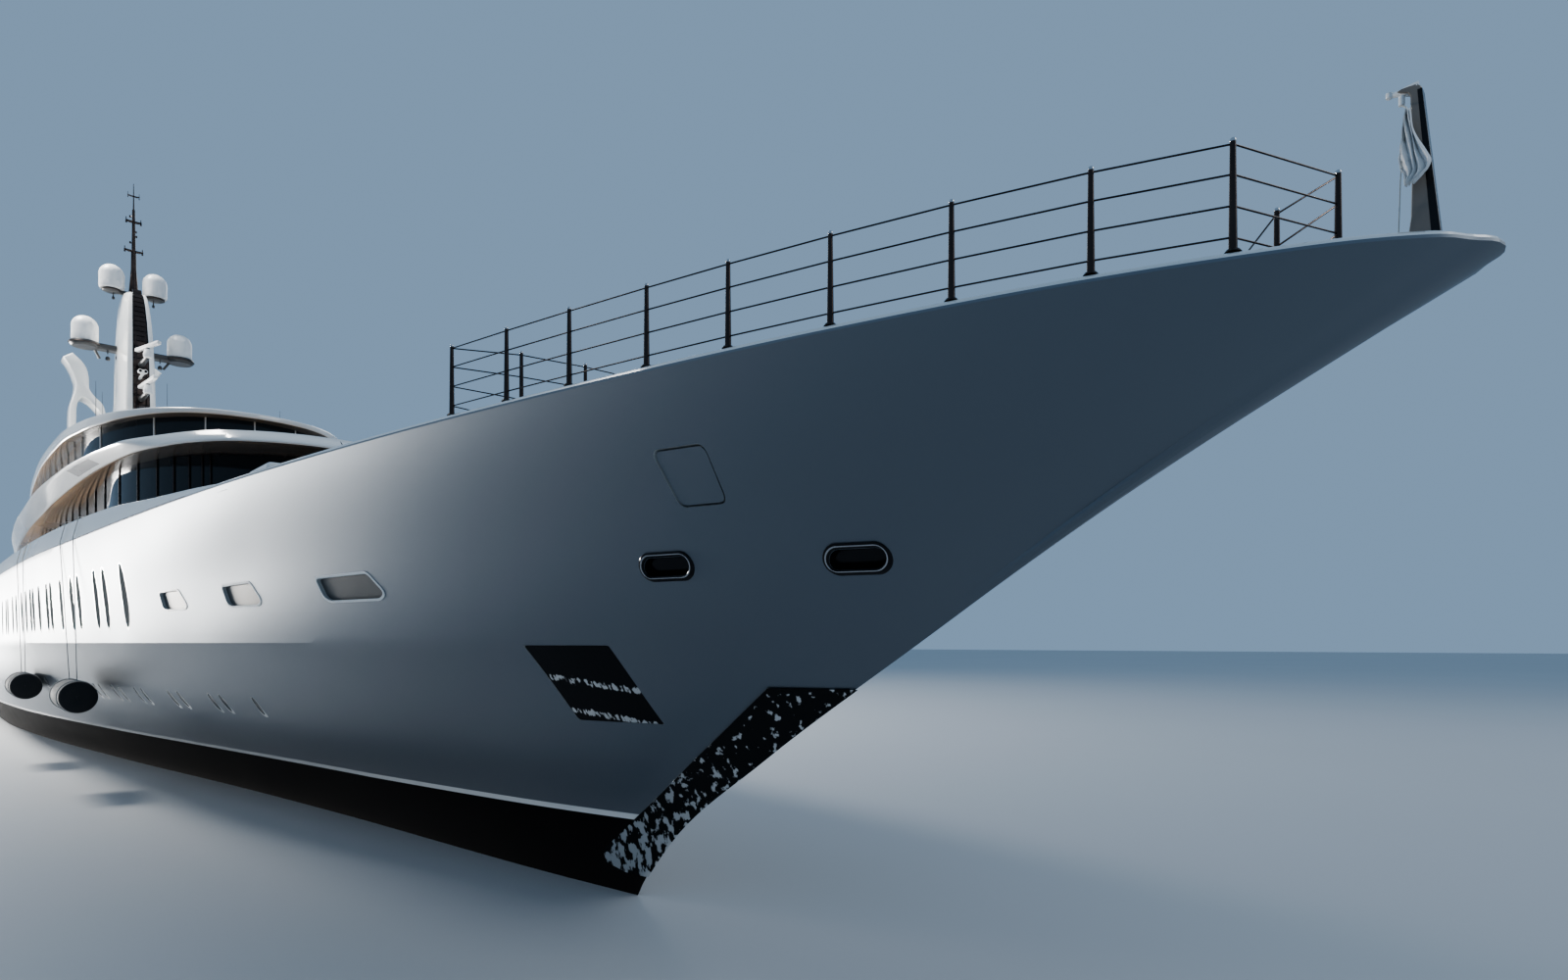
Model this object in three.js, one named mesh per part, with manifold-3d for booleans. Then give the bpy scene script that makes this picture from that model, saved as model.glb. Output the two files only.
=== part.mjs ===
// Motor yacht, scale model 1:10, in millimetres. X points to the bow, Y to port and Z up.
// The origin lies on the waterline plane, on the centreline, halfway along the model.
// Tables and named places are in real metres: "aft" is the distance aft of a mark 1.3 m ahead
// of the bow tip, "out" the distance from the centreline, "up" the height above the waterline.

import * as THREE from 'three';
import { mergeVertices } from 'three/addons/utils/BufferGeometryUtils.js';
import Module from 'manifold-3d';

const SCALE = 100; // millimetres of model for each real metre
const MARK_X = 5930; // model X of the mark that "aft" is measured from
const SEAT = 0.3; // gap that two touching pieces keep, in millimetres

// Levels, real metres above the waterline
const KNUCKLE_UP = 5.6;
const AFT_DECK_UP = 6.5;
const SIDE_DECK_UP = 8.35;
const FOREDECK_UP = 9.38;
const BRIDGE_DECK_UP = 12.6;
const BRIDGE_DECK_TOP = 13.4;
const ROOF_UP = 15.85;
const ROOF_TOP = 16.5;
const HARDTOP_UP = 18.7;
const HARDTOP_TOP = 19.05;

// Places, real metres aft of the mark
const TRANSOM = 111;
const PLATFORM_END = 117.3;
const MAST = 83.3;

const WALL = 10; // thickness of a house wall, in millimetres
const GLASS = 4; // thickness of a window pane, in millimetres
const STATIONS = 40;

const wasm = await Module();
wasm.setup();

const fore = (aft) => MARK_X - SCALE * aft;

const paint = (color, roughness, metalness = 0) =>
  new THREE.MeshStandardMaterial({ color, roughness, metalness });

const PAINT = {
  hull: paint(0xd9d9d4, 0.12),
  white: paint(0xf1f1ec, 0.2),
  black: paint(0x0b0c0e, 0.1),
  bronze: paint(0x2a221d, 0.3, 0.6),
  glass: paint(0x1b2126, 0.05),
  steel: paint(0xb9bcc0, 0.2, 0.9),
  propeller: paint(0xa4803f, 0.25, 0.9),
  cloth: paint(0xe8e8e4, 0.85),
  rubber: paint(0x121212, 0.6),
  grey: paint(0x54585c, 0.5),
};

const group = new THREE.Group();

function toSolid(geometry) {
  const bare = geometry.clone();
  bare.deleteAttribute('normal');
  bare.deleteAttribute('uv');
  const merged = mergeVertices(bare, 1e-3);
  const kept = [];
  const index = merged.index.array;
  for (let i = 0; i < index.length; i += 3) {
    const [a, b, c] = [index[i], index[i + 1], index[i + 2]];
    if (a !== b && b !== c && a !== c) {
      kept.push(a, b, c);
    }
  }
  const vertProperties = new Float32Array(merged.attributes.position.array);
  return new wasm.Manifold(new wasm.Mesh({ numProp: 3, vertProperties, triVerts: new Uint32Array(kept) }));
}

function toGeometry(solid) {
  const mesh = solid.getMesh();
  const geometry = new THREE.BufferGeometry();
  geometry.setAttribute('position', new THREE.BufferAttribute(mesh.vertProperties.slice(), 3));
  geometry.setIndex(new THREE.BufferAttribute(mesh.triVerts.slice(), 1));
  const flat = geometry.toNonIndexed();
  flat.computeVertexNormals();
  return flat;
}

function node(name, shape, material, place = [0, 0, 0]) {
  const geometry = shape.isBufferGeometry ? shape : toGeometry(shape);
  const mesh = new THREE.Mesh(geometry, material.clone());
  mesh.name = name;
  mesh.position.set(...place);
  group.add(mesh);
}

function join(solids) {
  return solids.reduce((sum, next) => sum.add(next));
}

// A box between two corners, in millimetres
function block(low, high) {
  const size = high.map((v, i) => v - low[i]);
  const box = new THREE.BoxGeometry(...size);
  box.translate(...low.map((v, i) => v + size[i] / 2));
  return toSolid(box);
}

// A round bar between two points, in millimetres
function bar(from, to, radius, endRadius = radius, sides = 10) {
  const start = new THREE.Vector3(...from);
  const along = new THREE.Vector3(...to).sub(start);
  const rod = new THREE.CylinderGeometry(endRadius, radius, along.length(), sides);
  rod.translate(0, along.length() / 2, 0);
  const turn = new THREE.Quaternion().setFromUnitVectors(new THREE.Vector3(0, 1, 0), along.normalize());
  const place = new THREE.Matrix4().compose(start, turn, new THREE.Vector3(1, 1, 1));
  return toSolid(rod).transform(place.elements);
}

// An outline in the X-Y plane, raised from one height to another
function slab(shape, low, high, bevel = 0, curveSegments = 12) {
  const options = { depth: high - low - 2 * bevel, curveSegments, bevelEnabled: bevel > 0 };
  Object.assign(options, { bevelThickness: bevel, bevelSize: bevel, bevelOffset: -bevel, bevelSegments: 2 });
  const plate = new THREE.ExtrudeGeometry(shape, options);
  plate.translate(0, 0, low + bevel);
  return toSolid(plate);
}

// An outline drawn in the X-Z plane, carried across from one Y to another
function across(shape, low, high) {
  const plate = new THREE.ExtrudeGeometry(shape, { depth: high - low, curveSegments: 7, bevelEnabled: false });
  plate.rotateX(Math.PI / 2);
  plate.translate(0, high, 0);
  return toSolid(plate);
}

function polygon(points) {
  return new THREE.Shape(points.map(([x, y]) => new THREE.Vector2(x, y)));
}

const mirrored = (solid) => solid.mirror([0, 1, 0]);

// Smooth value at a place from a table of [place, value] rows
function along(table, place) {
  const last = table.length - 1;
  if (place <= table[0][0]) {
    return table[0][1];
  }
  if (place >= table[last][0]) {
    return table[last][1];
  }
  const i = table.findIndex((row) => row[0] > place) - 1;
  const rise = (k) => (table[k + 1][1] - table[k][1]) / (table[k + 1][0] - table[k][0]);
  const slope = (k) => {
    if (k === 0 || k === last) {
      return rise(Math.min(k, last - 1));
    }
    const [before, after] = [rise(k - 1), rise(k)];
    return before * after <= 0 ? 0 : (2 * before * after) / (before + after);
  };
  const run = table[i + 1][0] - table[i][0];
  const t = (place - table[i][0]) / run;
  const h = [2 * t ** 3 - 3 * t ** 2 + 1, t ** 3 - 2 * t ** 2 + t, 3 * t ** 2 - 2 * t ** 3, t ** 3 - t ** 2];
  return h[0] * table[i][1] + h[1] * run * slope(i) + h[2] * table[i + 1][1] + h[3] * run * slope(i + 1);
}

// Hull lines: [aft, value] in real metres
const SHEER_UP = [[1.3, 9.68], [15, 9.62], [50, 9.35], [82, 9.35], [86, 8.9], [92, 7.7], [96, 7.4], [111, 7.4]];
const DECK_OUT = [
  [1.3, 0], [1.7, 0.7], [3.3, 1.65], [6.1, 2.7], [10.6, 3.87], [17.6, 5.2],
  [25.2, 6.25], [36, 7.25], [52, 8.25], [70, 8.6], [90, 8.5], [108, 7.9],
];
const UPPER_OUT = [
  [5.3, 0], [7, 1.1], [10, 2.2], [15, 3.55], [20, 4.65], [25, 5.5],
  [36, 6.98], [52, 8.15], [70, 8.58], [90, 8.5], [109, 7.8],
];
const KNUCKLE_OUT = [
  [8.55, 0], [10, 0.8], [15, 2.45], [20, 3.85], [25, 5], [30, 5.9],
  [36, 6.75], [52, 8.05], [70, 8.55], [90, 8.5], [110, 7.7],
];
const MID_OUT = [
  [12.2, 0], [15, 1.1], [20, 2.35], [25, 3.45], [30, 4.35],
  [38, 5.65], [52, 7.2], [70, 8.2], [90, 8.3], [110.5, 7.5],
];
const BOOT_OUT = [[15.2, 0], [20, 0.8], [30, 2], [38, 3.1], [52, 5.1], [70, 7.1], [82, 7.75], [92, 7.85], [111, 7.2]];
const WATER_OUT = [[16.3, 0], [20, 0.5], [30, 1.5], [38, 2.45], [52, 4.4], [70, 6.5], [82, 7.3], [92, 7.45], [111, 6.8]];
const KEEL_LINE = [[19.5, -5.1], [23, -5.4], [82, -5.4], [92, -3.6], [102, -1.3], [111, -0.7]];
const BILGE_SHARE = [[17, 0.3], [30, 0.45], [52, 0.8], [70, 0.93], [111, 0.93]];
const FLOOR_SHARE = [[17, 0.1], [30, 0.2], [52, 0.5], [70, 0.7], [111, 0.75]];

const keelUp = (aft) => along(KEEL_LINE, aft);

// Rows of the hull's skin from the keel up: stem and end are where the row meets stem and
// transom, out its half breadth and up its height at a place aft.
const HULL_ROWS = [
  { stem: 19.5, end: 111, out: (aft) => 0.4 * Math.min(1, Math.max(0, (aft - 19.5) / 4)), up: keelUp },
  { stem: 18.6, end: 111, out: (aft) => along(FLOOR_SHARE, aft) * along(WATER_OUT, aft), up: (aft) => keelUp(aft) * 0.93 },
  { stem: 17.6, end: 111, out: (aft) => along(BILGE_SHARE, aft) * along(WATER_OUT, aft), up: (aft) => keelUp(aft) * 0.68 },
  { stem: 16.8, end: 111, out: (aft) => along(WATER_OUT, aft) * 0.97, up: (aft) => keelUp(aft) * 0.26 },
  { stem: 16.3, end: 111, out: (aft) => along(WATER_OUT, aft), up: () => 0 },
  { stem: 15.2, end: 111, out: (aft) => along(BOOT_OUT, aft), up: () => 1.3 },
  { stem: 12.2, end: 110.5, out: (aft) => along(MID_OUT, aft), up: () => 3.4 },
  { stem: 8.55, end: 110, out: (aft) => along(KNUCKLE_OUT, aft), up: () => KNUCKLE_UP },
  { stem: 5.3, end: 109, out: (aft) => along(UPPER_OUT, aft), up: (aft) => KNUCKLE_UP + 0.47 * (along(SHEER_UP, aft) - KNUCKLE_UP) },
  { stem: 1.3, end: 108, out: (aft) => along(DECK_OUT, aft), up: (aft) => along(SHEER_UP, aft) },
];

// The hull as one closed loft, its skin moved out by grow millimetres
function hullLoft(grow) {
  const points = [];
  const columns = HULL_ROWS.length * 2;
  for (let s = 0; s <= STATIONS; s += 1) {
    const share = (s / STATIONS) ** 1.5;
    const section = HULL_ROWS.map((row) => {
      const aft = row.stem + (row.end - row.stem) * share;
      const out = SCALE * Math.max(0, row.out(aft));
      return { x: fore(aft) + grow * 1.5 * (s === 0), y: s === 0 ? 0 : Math.max(out + grow, 0.5), z: SCALE * row.up(aft) };
    });
    section[0].z -= grow;
    section.forEach((p) => points.push(p.x, p.y, p.z));
    [...section].reverse().forEach((p) => points.push(p.x, -p.y, p.z));
  }
  const index = [];
  for (let s = 0; s < STATIONS; s += 1) {
    for (let c = 0; c < columns; c += 1) {
      const a = s * columns + c;
      const b = s * columns + ((c + 1) % columns);
      if (c < HULL_ROWS.length) {
        index.push(a, a + columns, b, b, a + columns, b + columns);
      } else {
        index.push(a, a + columns, b + columns, a, b + columns, b);
      }
    }
  }
  const last = STATIONS * columns;
  for (let c = 0; c < HULL_ROWS.length - 1; c += 1) {
    const [p, q] = [last + c, last + c + 1];
    const [r, t] = [last + columns - 1 - c, last + columns - 2 - c];
    index.push(p, r, q, q, r, t);
  }
  const geometry = new THREE.BufferGeometry();
  geometry.setAttribute('position', new THREE.Float32BufferAttribute(points, 3));
  geometry.setIndex(index);
  const solid = toSolid(geometry);
  return solid;
}

// Half breadth of the hull in real metres at a place aft and a height up
function hullOut(aft, up) {
  const rows = HULL_ROWS.slice(4).map((row) => [row.up(aft), row.out(aft)]);
  const i = Math.max(1, rows.findIndex((row) => row[0] >= up));
  const [low, high] = [rows[i - 1], rows[i]];
  return low[1] + ((high[1] - low[1]) * (up - low[0])) / (high[0] - low[0]);
}

// Outline of the deck between two places, inset from the hull's edge, in millimetres
function deckShape(from, to, inset, steps = 24) {
  const side = [];
  for (let i = 0; i <= steps; i += 1) {
    const aft = from + ((to - from) * i) / steps;
    side.push([fore(aft), SCALE * (along(DECK_OUT, aft) - inset)]);
  }
  const port = [...side].reverse().map(([x, y]) => [x, y]);
  return polygon([...side.map(([x, y]) => [x, -y]), ...port]);
}

// Outline of a house or roof: half-ellipse nose, straight sides, square or rounded tail
function houseShape({ nose, noseLength, out, tail, tailOut = out }, inset = 0) {
  const shape = new THREE.Shape();
  const centre = fore(nose + noseLength);
  const width = SCALE * out - inset;
  const tailX = fore(tail) + inset;
  const tailWidth = SCALE * tailOut - inset;
  shape.moveTo(tailX, -tailWidth);
  shape.lineTo(centre, -width);
  shape.absellipse(centre, 0, SCALE * noseLength - inset, width, -Math.PI / 2, Math.PI / 2, false, 0);
  shape.lineTo(tailX, tailWidth);
  shape.closePath();
  return shape;
}

// The ring of wall between an outline and the same outline inset
function ring(plan, low, high, near, far) {
  return slab(houseShape(plan, near), low, high).subtract(slab(houseShape(plan, far), low - 1, high + 1));
}

const stadium = (cx, cy, long, high) => {
  const shape = new THREE.Shape();
  const r = high / 2;
  const half = long / 2 - r;
  shape.absarc(cx + half, cy, r, -Math.PI / 2, Math.PI / 2, false);
  shape.absarc(cx - half, cy, r, Math.PI / 2, (3 * Math.PI) / 2, false);
  shape.closePath();
  return shape;
};

// Hull with its recesses

const skin = hullLoft(0);
const core = hullLoft(-14);
const seat = hullLoft(-4.3);

// Anchor pockets: corners [aft, up] of the polished plate let into each side
const POCKET = [[16.25, 5.55], [14.15, 5.55], [13.8, 4.03], [15.88, 4.03]];
// Shell doors high in the flare: corners [aft, up]
const DOOR = [[11.18, 8.56], [10.2, 8.56], [10.32, 7.74], [11.2, 7.74]];
const DOOR_GAP = 3;
const HINGE_GAP = 0.6;
// Fairleads: centre aft and up, length and height of the opening
const FAIRLEADS = [
  { name: 'fore', aft: 8.75, up: 6.85, long: 0.74, high: 0.26 },
  { name: 'aft', aft: 12.1, up: 6.88, long: 0.74, high: 0.28 },
];
// Openings in the bulwark of the mooring deck: corners [aft, up]
const BULWARK_OPENINGS = [
  [[22.1, 7.07], [20.25, 7.1], [19.95, 6.68], [20.15, 6.57], [21.75, 6.57], [22.0, 6.7]],
  [[27.15, 7.08], [25.6, 7.11], [25.25, 6.65], [25.4, 6.57], [26.75, 6.57], [27.0, 6.66]],
  [[32.1, 7.07], [30.3, 7.1], [29.8, 6.66], [30.0, 6.58], [31.4, 6.58], [31.85, 6.66]],
];

const cornersToPlane = (corners) => corners.map(([aft, up]) => [fore(aft), SCALE * up]);

function grownPolygon(corners, grow) {
  const cx = corners.reduce((sum, p) => sum + p[0], 0) / corners.length;
  const cy = corners.reduce((sum, p) => sum + p[1], 0) / corners.length;
  return corners.map(([x, y]) => [x + Math.sign(x - cx) * grow, y + Math.sign(y - cy) * grow]);
}

// The door's own outline inside its opening: the upper edge is the hinge side
function doorLeaf(corners) {
  const cx = corners.reduce((sum, p) => sum + p[0], 0) / corners.length;
  const cy = corners.reduce((sum, p) => sum + p[1], 0) / corners.length;
  return corners.map(([x, y]) => [
    x - Math.sign(x - cx) * DOOR_GAP,
    y > cy ? y - HINGE_GAP : y + DOOR_GAP,
  ]);
}

const starboardPrism = (shape) => across(shape, -1200, -1);

const pocketPrism = starboardPrism(polygon(cornersToPlane(POCKET)));
const pocketRecess = starboardPrism(polygon(grownPolygon(cornersToPlane(POCKET), SEAT))).subtract(seat);
const doorPrism = starboardPrism(polygon(doorLeaf(cornersToPlane(DOOR))));
const doorRecess = starboardPrism(polygon(cornersToPlane(DOOR))).subtract(core);
const openingRecess = join(
  BULWARK_OPENINGS.map((corners) => starboardPrism(polygon(cornersToPlane(corners)))),
).subtract(core);
const fairleadRecess = join(
  FAIRLEADS.map(({ aft, up, long, high }) =>
    starboardPrism(stadium(fore(aft), SCALE * up, SCALE * long, SCALE * high)),
  ),
).subtract(core);

const sideCuts = join([pocketRecess, doorRecess, openingRecess, fairleadRecess]);
const foredeckWell = slab(deckShape(3.1, 38, 0.32), SCALE * FOREDECK_UP, 1200);
const sideWell = slab(deckShape(38.4, 84, 0.35), SCALE * SIDE_DECK_UP, 1200);
const aftWell = slab(deckShape(84.4, 107.3, 0.35), SCALE * AFT_DECK_UP, 1200);

// Door in the transom that opens the beach deck, hinged along its upper edge
const STERN_DOOR = { out: 2.8, low: 1.5, high: 4.3, depth: 16 };
const sternOpening = block(
  [-6000, -SCALE * STERN_DOOR.out, SCALE * STERN_DOOR.low],
  [-4000, SCALE * STERN_DOOR.out, SCALE * STERN_DOOR.high],
);
const sternLeaf = block(
  [-6000, -SCALE * STERN_DOOR.out + DOOR_GAP, SCALE * STERN_DOOR.low + DOOR_GAP],
  [-4000, SCALE * STERN_DOOR.out - DOOR_GAP, SCALE * STERN_DOOR.high - HINGE_GAP],
);
const sternRecess = sternOpening.subtract(skin.translate([STERN_DOOR.depth, 0, 0]));

// Bosses under the stern that carry the rudder stocks
const RUDDER_AFT = 107;
const SCREW_OUT = 3.1;
const SCREW_UP = -3.15;
const BOSS_BOTTOM = -116;
const rudderBosses = join(
  [-1, 1].map((side) => {
    const y = side * SCALE * SCREW_OUT;
    return bar([fore(RUDDER_AFT), y, -60], [fore(RUDDER_AFT), y, BOSS_BOTTOM], 24, 24, 18);
  }),
);

const hull = skin
  .add(rudderBosses)
  .subtract(sideCuts)
  .subtract(mirrored(sideCuts))
  .subtract(foredeckWell)
  .subtract(sideWell)
  .subtract(aftWell)
  .subtract(sternRecess);
node('hull', hull, PAINT.hull);

// Pocket plates, a few millimetres inside the skin
const pocketPlate = pocketPrism.intersect(hullLoft(-1)).subtract(hullLoft(-4));
node('anchor_pocket_starboard', pocketPlate, PAINT.black);
node('anchor_pocket_port', mirrored(pocketPlate), PAINT.black);

// Shell doors, flush with the skin and hinged along their upper edge
const shellDoor = doorPrism.intersect(skin).subtract(hullLoft(-8));
node('shell_door_starboard', shellDoor, PAINT.hull);
node('shell_door_port', mirrored(shellDoor), PAINT.hull);

// Fairlead rims standing proud of the skin
for (const { name, aft, up, long, high } of FAIRLEADS) {
  const lip = 0.09 * SCALE;
  const outer = starboardPrism(stadium(fore(aft), SCALE * up, SCALE * long + 2 * lip, SCALE * high + 2 * lip));
  const inner = starboardPrism(stadium(fore(aft), SCALE * up, SCALE * long, SCALE * high));
  const rim = outer.subtract(inner).intersect(hullLoft(6)).subtract(hullLoft(SEAT));
  node(`fairlead_${name}_starboard`, rim, PAINT.black);
  node(`fairlead_${name}_port`, mirrored(rim), PAINT.black);
}

// Stem plate: a thin polished skin wrapped round the stem
const PLATE = [[9.4, 4.8], [11.3, 4.8], [14, 3.05], [15.86, 1.86], [17.25, 0.9], [17.2, 0.62], [16.6, 0.48], [9.4, 0.48]];
const platePrism = across(polygon(cornersToPlane(PLATE)), -400, 400);
const stemPlate = hullLoft(4).intersect(platePrism).subtract(hullLoft(SEAT));
node('stem_plate', stemPlate, PAINT.black);

// Foredeck rail: stanchions on the hull's edge joined by four wires

const RAIL_FRONT = 2.76;
const RAIL_INNER = [3.52, 0.45]; // the first port stanchion stands inboard, on the foredeck: [aft, out]
const RAIL_AFT = [3.35, 4.65, 6.15, 7.7, 9.25, 10.7, 12.3, 13.8, 15.3];
const RAIL_CLOSING = [[14.76, 3.6], [14.56, 2.4], [14.5, 0.8]];
const RAIL_UP = 10.85;
const WIRE_SHARE = [0.14, 0.42, 0.7, 0.97];
const RAIL_INSET = 0.16;
const railFoot = (aft, side) => [
  fore(aft),
  side * SCALE * (along(DECK_OUT, aft) - RAIL_INSET),
  SCALE * along(SHEER_UP, aft) + SEAT,
];
const closingFoot = ([aft, out], side) => [fore(aft), side * SCALE * out, SCALE * FOREDECK_UP + SEAT];
const railFeet = [
  [fore(RAIL_FRONT), 0, SCALE * along(SHEER_UP, RAIL_FRONT) + SEAT],
  closingFoot(RAIL_INNER, 1),
  ...RAIL_AFT.slice(1).map((aft) => railFoot(aft, 1)),
  ...RAIL_CLOSING.map((place) => closingFoot(place, 1)),
  ...[...RAIL_CLOSING].reverse().map((place) => closingFoot(place, -1)),
  ...[...RAIL_AFT].reverse().map((aft) => railFoot(aft, -1)),
];
const railTop = SCALE * RAIL_UP;
const stanchions = railFeet.map((foot) => bar(foot, [foot[0], foot[1], railTop], 4.5, 3, 6));
const wires = [];
railFeet.forEach((foot, i) => {
  const next = railFeet[(i + 1) % railFeet.length];
  WIRE_SHARE.forEach((share) => {
    const level = (p) => [p[0], p[1], p[2] + share * (railTop - p[2])];
    wires.push(bar(level(foot), level(next), 1.1, 1.1, 3));
  });
});
node('foredeck_rail', join([...stanchions, ...wires]), PAINT.bronze);

// Jackstaff fin at the bow tip with its furled flag

const STAFF = [[2.13, 9.683], [1.83, 9.683], [1.98, 11.46], [2.06, 11.51], [2.32, 11.5], [2.32, 11.45], [2.12, 11.42]];
const staff = across(polygon(cornersToPlane(STAFF)), -6, 6);
node('jackstaff', staff, PAINT.grey);
const FLAG_AFT = 2.25;
const halyard = bar([fore(FLAG_AFT), 0, 1100], [fore(FLAG_AFT), 0, 1143.5], 1.5, 1.5, 6);
const flag = bar([fore(FLAG_AFT), 0, 1050], [fore(FLAG_AFT), 0, 1110], 8, 6, 10).add(halyard);
node('bow_flag', flag, PAINT.cloth);

// Houses and decks: nose and tail in metres aft, noseLength of the half ellipse, out the half width

const HARDTOP = { nose: 71.5, noseLength: 6, out: 4.4, tail: 97, tailOut: 3.9 };
const AFT_SLAB = { nose: 84.6, noseLength: 1, out: 7.6, tail: 103, tailOut: 7.1 };
const AFT_SLAB_UP = 9.4;
const AFT_SLAB_TOP = 9.7;
// Bridge deck and roof: half breadth [aft, out] of the lower and the upper edge of the white brow
const BRIDGE_DECK_LOW = [
  [35.5, 0], [35.6, 1.2], [36.1, 2.6], [37, 3.8], [38.9, 4.9], [42, 5.75], [47.3, 6.25],
  [54, 6.65], [60, 6.85], [70, 6.9], [77, 6.8], [85, 6.6], [92.7, 6.3], [97, 6.1],
];
const BRIDGE_DECK_HIGH = [
  [36, 0], [36.1, 1.2], [36.6, 2.6], [37.6, 3.9], [39.8, 5.1], [42.5, 6.1], [50.9, 7.05],
  [61, 7.4], [72, 7.35], [85, 6.95], [92.7, 6.5], [97, 6.2],
];
const ROOF_EDGE = [
  [47.5, 0], [47.6, 1], [48.1, 2.4], [49, 3.5], [50.3, 4.4], [52, 5.2], [55, 5.95],
  [59, 6.4], [67, 6.55], [76, 6.35], [84, 6], [95, 5.2],
];

// Houses: floor and ceiling, sill and head of the window band, and where its mullions run
const HOUSES = [
  {
    name: 'upper_deck_house', glass: 'upper_deck_glass', nose: 38.9, noseLength: 9, out: 5.7, tail: 83,
    floor: SIDE_DECK_UP, ceiling: BRIDGE_DECK_UP, sill: 9.3, head: 12.15, from: 41, to: 82, step: 3.1,
  },
  {
    name: 'wheelhouse', glass: 'wheelhouse_glass', nose: 49.2, noseLength: 12, out: 5.9, tail: 84,
    floor: BRIDGE_DECK_TOP, ceiling: ROOF_UP, sill: 14, head: 15.6, from: 51, to: 83, step: 3,
  },
  {
    name: 'sun_deck_house', nose: 73.5, noseLength: 4, out: 3.4, tail: 90,
    floor: ROOF_TOP, ceiling: HARDTOP_UP, sill: 17.2, head: 18.3, from: 76, to: 90, step: 3.5,
  },
  {
    name: 'main_deck_house', nose: 84.6, noseLength: 1, out: 6.6, tail: 97,
    floor: AFT_DECK_UP, ceiling: AFT_SLAB_UP, sill: 7.2, head: 9, from: 87, to: 96, step: 3,
  },
];
const GLASS_LAP = 10; // how far a pane reaches past its opening, in millimetres
const MULLION = 16;

// A deck or roof whose outline changes with height: levels are [height in mm, table, inset in mm]
const BROW_STATIONS = 28;
function brow(levels) {
  const points = [];
  for (let s = 0; s <= BROW_STATIONS; s += 1) {
    const share = (s / BROW_STATIONS) ** 2.1;
    for (const side of [-1, 1]) {
      for (const [height, table, inset] of levels) {
        const [nose, tail] = [table[0][0], table[table.length - 1][0]];
        const aft = nose + (tail - nose) * share;
        const shift = inset * (1 - 2 * share);
        points.push(fore(aft) - shift, side * Math.max(0, SCALE * along(table, aft) - inset), height);
      }
    }
  }
  const count = levels.length;
  const ringSize = count * 2;
  const order = [];
  for (let i = 0; i < count; i += 1) {
    order.push(i);
  }
  for (let i = count - 1; i >= 0; i -= 1) {
    order.push(count + i);
  }
  const index = [];
  for (let s = 0; s < BROW_STATIONS; s += 1) {
    order.forEach((here, k) => {
      const next = order[(k + 1) % ringSize];
      const [a, b] = [s * ringSize + here, s * ringSize + next];
      index.push(a, b, a + ringSize, b, b + ringSize, a + ringSize);
    });
  }
  const last = BROW_STATIONS * ringSize;
  for (let i = 0; i < count - 1; i += 1) {
    const [a, b, c, d] = [last + i, last + i + 1, last + count + i, last + count + i + 1];
    index.push(a, b, c, b, d, c);
  }
  const geometry = new THREE.BufferGeometry();
  geometry.setAttribute('position', new THREE.Float32BufferAttribute(points, 3));
  geometry.setIndex(index);
  return toSolid(geometry);
}

// A hollow house wall with a band of windows cut between mullions
function house(plan, low, high, sill, head, mullions) {
  const wall = ring(plan, low, high, 0, WALL);
  const band = slab(houseShape(plan, -20), sill, head).subtract(slab(houseShape(plan, WALL + 20), sill - 1, head + 1));
  const half = MULLION / 2;
  const posts = mullions.map((aft) => block([fore(aft) - half, -1000, sill - 1], [fore(aft) + half, 1000, head + 1]));
  const noseX = fore(plan.nose);
  posts.push(block([noseX - SCALE * plan.noseLength * 0.5, -half, sill - 1], [noseX + 50, half, head + 1]));
  const tailX = fore(plan.tail);
  const out = SCALE * plan.out;
  posts.push(block([tailX - 30, -out - 30, sill - 1], [tailX + 60, -out + 60, head + 1]));
  posts.push(block([tailX - 30, out - 60, sill - 1], [tailX + 60, out + 30, head + 1]));
  return wall.subtract(band.subtract(join(posts)));
}

const glassRing = (plan, low, high) => ring(plan, low, high, WALL + SEAT, WALL + SEAT + GLASS);

const spaced = (from, to, step) => {
  const list = [];
  for (let aft = from; aft < to; aft += step) {
    list.push(aft);
  }
  return list;
};

for (const plan of HOUSES) {
  const [low, high] = [SCALE * plan.floor + SEAT, SCALE * plan.ceiling - SEAT];
  const [sill, head] = [SCALE * plan.sill, SCALE * plan.head];
  node(plan.name, house(plan, low, high, sill, head, spaced(plan.from, plan.to, plan.step)), PAINT.white);
  if (plan.glass) {
    node(plan.glass, glassRing(plan, sill - GLASS_LAP, head + GLASS_LAP), PAINT.glass);
  }
}

const bridgeDeck = brow([
  [SCALE * BRIDGE_DECK_UP, BRIDGE_DECK_LOW, 12],
  [SCALE * BRIDGE_DECK_UP + 8, BRIDGE_DECK_LOW, 0],
  [SCALE * BRIDGE_DECK_TOP - 8, BRIDGE_DECK_HIGH, 0],
  [SCALE * BRIDGE_DECK_TOP, BRIDGE_DECK_HIGH, 10],
]);
node('bridge_deck', bridgeDeck, PAINT.white);
const topRoof = brow([
  [SCALE * ROOF_UP, ROOF_EDGE, 14],
  [SCALE * ROOF_UP + 14, ROOF_EDGE, 2],
  [SCALE * ROOF_TOP - 14, ROOF_EDGE, 0],
  [SCALE * ROOF_TOP, ROOF_EDGE, 14],
]);
node('top_roof', topRoof, PAINT.white);
node('hardtop', slab(houseShape(HARDTOP), SCALE * HARDTOP_UP, SCALE * HARDTOP_TOP, 8), PAINT.white);

// Steering console behind the wheelhouse windows: corners [aft, height above the deck]
const CONSOLE = [[53.2, 0], [51.9, 0], [51.9, 1.1], [52.7, 1.15], [53.2, 0.8]];
const consoleSide = CONSOLE.map(([aft, up]) => [fore(aft), SCALE * (BRIDGE_DECK_TOP + up) + SEAT]);
node('wheelhouse_console', across(polygon(consoleSide), -250, 250), PAINT.grey);

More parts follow.
